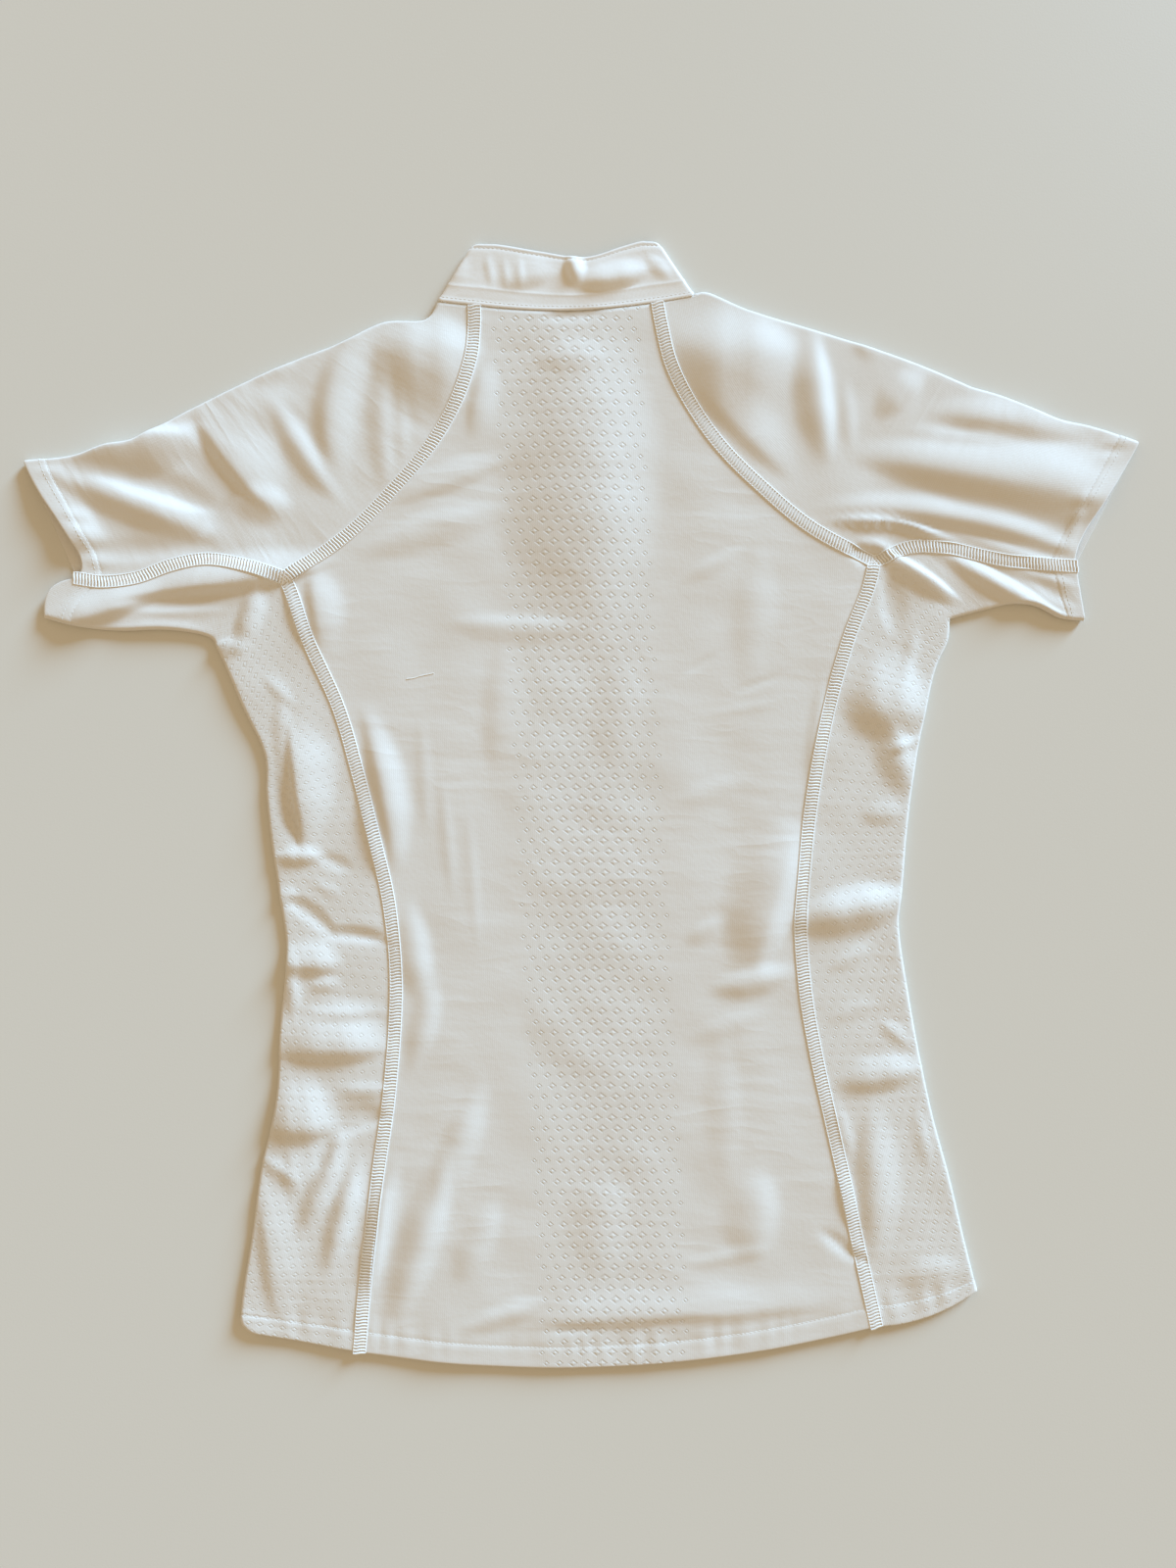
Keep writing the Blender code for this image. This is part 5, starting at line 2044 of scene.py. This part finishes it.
@dataclass(frozen=True)
class Studio:
    """The table, the light of a tall window at the far end, and the camera straight above."""

    centre: tuple[float, float] = (0.0038, 0.0121)
    lens: float = 26.5
    sensor: float = 36.0
    nearest: float = 0.01
    frame_height: float = 0.928
    aimed_at: float = 0.003
    table: float = 4.0
    window_height: float = 15.0
    window_turn: float = 42.0
    window_spread: float = 20.0
    window_strength: float = 5.3
    window_colour: Colour = (0.50, 0.81, 1.13)
    room_strength: float = 0.55
    room_colour: Colour = (1.0, 0.77, 0.49)

    def build(self) -> None:
        """Make the table, the light and the camera."""
        self.lay_table()
        self.window()
        world = bpy.data.worlds.new("room")
        world.use_nodes = True
        backdrop = world.node_tree.nodes["Background"]
        backdrop.inputs["Color"].default_value = (*self.room_colour, 1.0)
        backdrop.inputs["Strength"].default_value = self.room_strength
        bpy.context.scene.world = world
        bpy.context.scene.view_settings.view_transform = "Standard"
        self.aim()

    def lay_table(self) -> None:
        """Make the table's surface, which isn't part of the shirt."""
        half = self.table / 2
        mesh = bpy.data.meshes.new("table")
        corners = [(-half, -half, 0.0), (half, -half, 0.0), (half, half, 0.0), (-half, half, 0.0)]
        mesh.from_pydata(corners, [], [(0, 1, 2, 3)])
        mesh.materials.append(TableTop().build())
        placed("table", mesh)

    def window(self) -> None:
        """Add the low soft daylight, which comes from beyond the collar and from the right."""
        lamp = bpy.data.lights.new("window", "SUN")
        lamp.energy = self.window_strength
        lamp.color = self.window_colour
        lamp.angle = math.radians(self.window_spread)
        slope, turn = math.radians(90.0 - self.window_height), math.radians(self.window_turn)
        placed("window", lamp).rotation_euler = (-slope, 0.0, -turn)

    def aim(self) -> None:
        """Put the camera straight above, so that its long side covers the frame's height."""
        lens = bpy.data.cameras.new("camera")
        lens.lens = self.lens
        lens.sensor_width = self.sensor
        lens.clip_start = self.nearest
        made = placed("camera", lens)
        height = self.frame_height * self.lens / self.sensor
        made.location = (*self.centre, self.aimed_at + height)
        bpy.context.scene.camera = made


@dataclass
class Shirt:
    """The whole shirt: its pieces, then its sewing."""

    left: SideLines = field(default_factory=lambda: SideLines(Side.LEFT))
    right: SideLines = field(default_factory=lambda: SideLines(Side.RIGHT))

    def build(self) -> None:
        """Make every piece and sew them."""
        plain = Knit("plain knit").build()
        banded = Knit("banded knit", lozenges=Lozenges(Spread.BAND)).build()
        # The side panels' lozenges are smaller, with less darkening in their outlines: pattern tone
        # and painted shade
        small = Lozenges(Spread.SIDE, 0.0068, 0.0055, 0.0025, 0.0021, tint=0.15, depth=0.00008)
        patterned = Knit("patterned knit", lozenges=small).build()
        doubled = Knit(
            "collar cloth",
            colour=(0.87, 0.86, 0.84),
            shade=(0.83, 0.815, 0.785),
            roughness=0.55,
            wale=0.0008,
            course=0.0008,
        ).build()
        hem_thread = Thread("hem thread", (0.80, 0.775, 0.735), (0.70, 0.67, 0.62))
        # Darker cloth for the seam bands: painted shade in the gaps between the threads
        edges = Knit("seam band with painted shade", colour=(0.71, 0.685, 0.64), shade=(0.65, 0.625, 0.575))
        needle = Needlework(Thread().build(), hem_thread.build(), edges.build())
        front = FrontPanel()
        front.build(self.left, self.right, plain)
        strips = front.build_strips(doubled)
        back = BackPanel()
        back.build(self.left, self.right, banded)
        collar = Collar(self.left, self.right)
        collar.build(doubled)
        for lines in (self.left, self.right):
            sleeve = Sleeve(lines)
            sleeve.build(plain)
            panel = SidePanel(lines)
            panel.build(patterned)
            self.sew_side(needle, lines)
            self.sew_hems(needle, lines, sleeve, panel)
        self.sew_middle(needle, back, collar, front, strips)

    def sew_side(self, needle: Needlework, lines: SideLines) -> None:
        """Sew one side's flat seams, above and underneath.

        Args:
            needle: The sewing.
            lines: That side's seams.
        """
        side = lines.side.value
        for layer, out, word, columns in ((UPPER, 1.0, "back", 2), (LOWER, -1.0, "front", 4)):
            cover = CLOTH / 2 if layer is UPPER else UNDER_CLOTH / 2
            runs = {
                "raglan": lines.raglan[:, columns : columns + 2],
                "underarm": lines.sleeve[:, 2:4],
                "flank": lines.flank[:, 0:2],
            }
            for name, flat in runs.items():
                path = SeamPath(flat, layer, out, cover)
                needle.flat_seam(f"{name}_seam_{word}_{side}", path)

    def sew_hems(
        self, needle: Needlework, lines: SideLines, sleeve: Sleeve, panel: SidePanel
    ) -> None:
        """Sew one side's cuff and hem.

        Args:
            needle: The sewing.
            lines: That side's seams.
            sleeve: Its sleeve.
            panel: Its side panel.
        """
        side = lines.side.value
        for number, depth in enumerate((CUFF_DEPTH, CUFF_DEPTH - CUFF_ROWS_APART)):
            self.sew_row(needle, f"sleeve_hem_row_{side}_{number}", sleeve.grid, depth, True)
            self.sew_row(needle, f"underarm_hem_row_{side}_{number}", panel.grid, depth, False)
        self.sew_row(needle, f"side_hem_row_{side}", panel.grid, HEM_DEPTH, True)

    def sew_middle(
        self,
        needle: Needlework,
        back: BackPanel,
        collar: Collar,
        front: FrontPanel,
        strips: Sequence[ClothGrid],
    ) -> None:
        """Sew the back's and front's hems, the collar and the opening's strips.

        Args:
            needle: The sewing.
            back: The back panel.
            collar: The collar.
            front: The front panel.
            strips: The opening's strips.
        """
        self.sew_row(needle, "back_hem_row", back.grid, HEM_DEPTH, True)
        self.sew_row(needle, "front_hem_row", front.grid, HEM_DEPTH, True)
        heights = collar.fractions() * collar.height
        for name, height in (("neck", collar.neck_row), ("rim", collar.height - collar.rim_row)):
            index = int(np.abs(heights - height).argmin())
            points = collar.grid.outer()[index]
            needle.row(f"collar_{name}_row", points, collar.grid.normals()[index])
        for side, grid in zip(Side, strips):
            for word, column in (("inner", 1), ("outer", -2)):
                points = grid.outer()[:, column]
                needle.row(f"strip_{word}_row_{side.value}", points, grid.normals()[:, column])
        snag = SeamPath(np.array(SNAG), UPPER, 1.0, CLOTH / 2)
        needle.loose("pulled_thread", snag, SNAG_RADIUS)

    def sew_row(
        self, needle: Needlework, name: str, grid: ClothGrid, depth: float, from_end: bool
    ) -> None:
        """Sew a row of stitches this deep in a hem.

        Args:
            needle: The sewing.
            name: The row's name.
            grid: The cloth.
            depth: How far the row is from the hem's edge.
            from_end: Whether the hem is at the grid's last row, not its first.
        """
        line = grid.middle[:, 0]
        distance = remaining(line) if from_end else travelled(line)
        index = int(np.abs(distance - depth).argmin())
        needle.row(name, grid.outer()[index], grid.normals()[index])


def main() -> None:
    """Build the studio and the shirt."""
    logging.basicConfig(level=logging.INFO, format="%(name)s: %(message)s")
    Studio().build()
    Shirt().build()


if __name__ == "__main__":
    main()
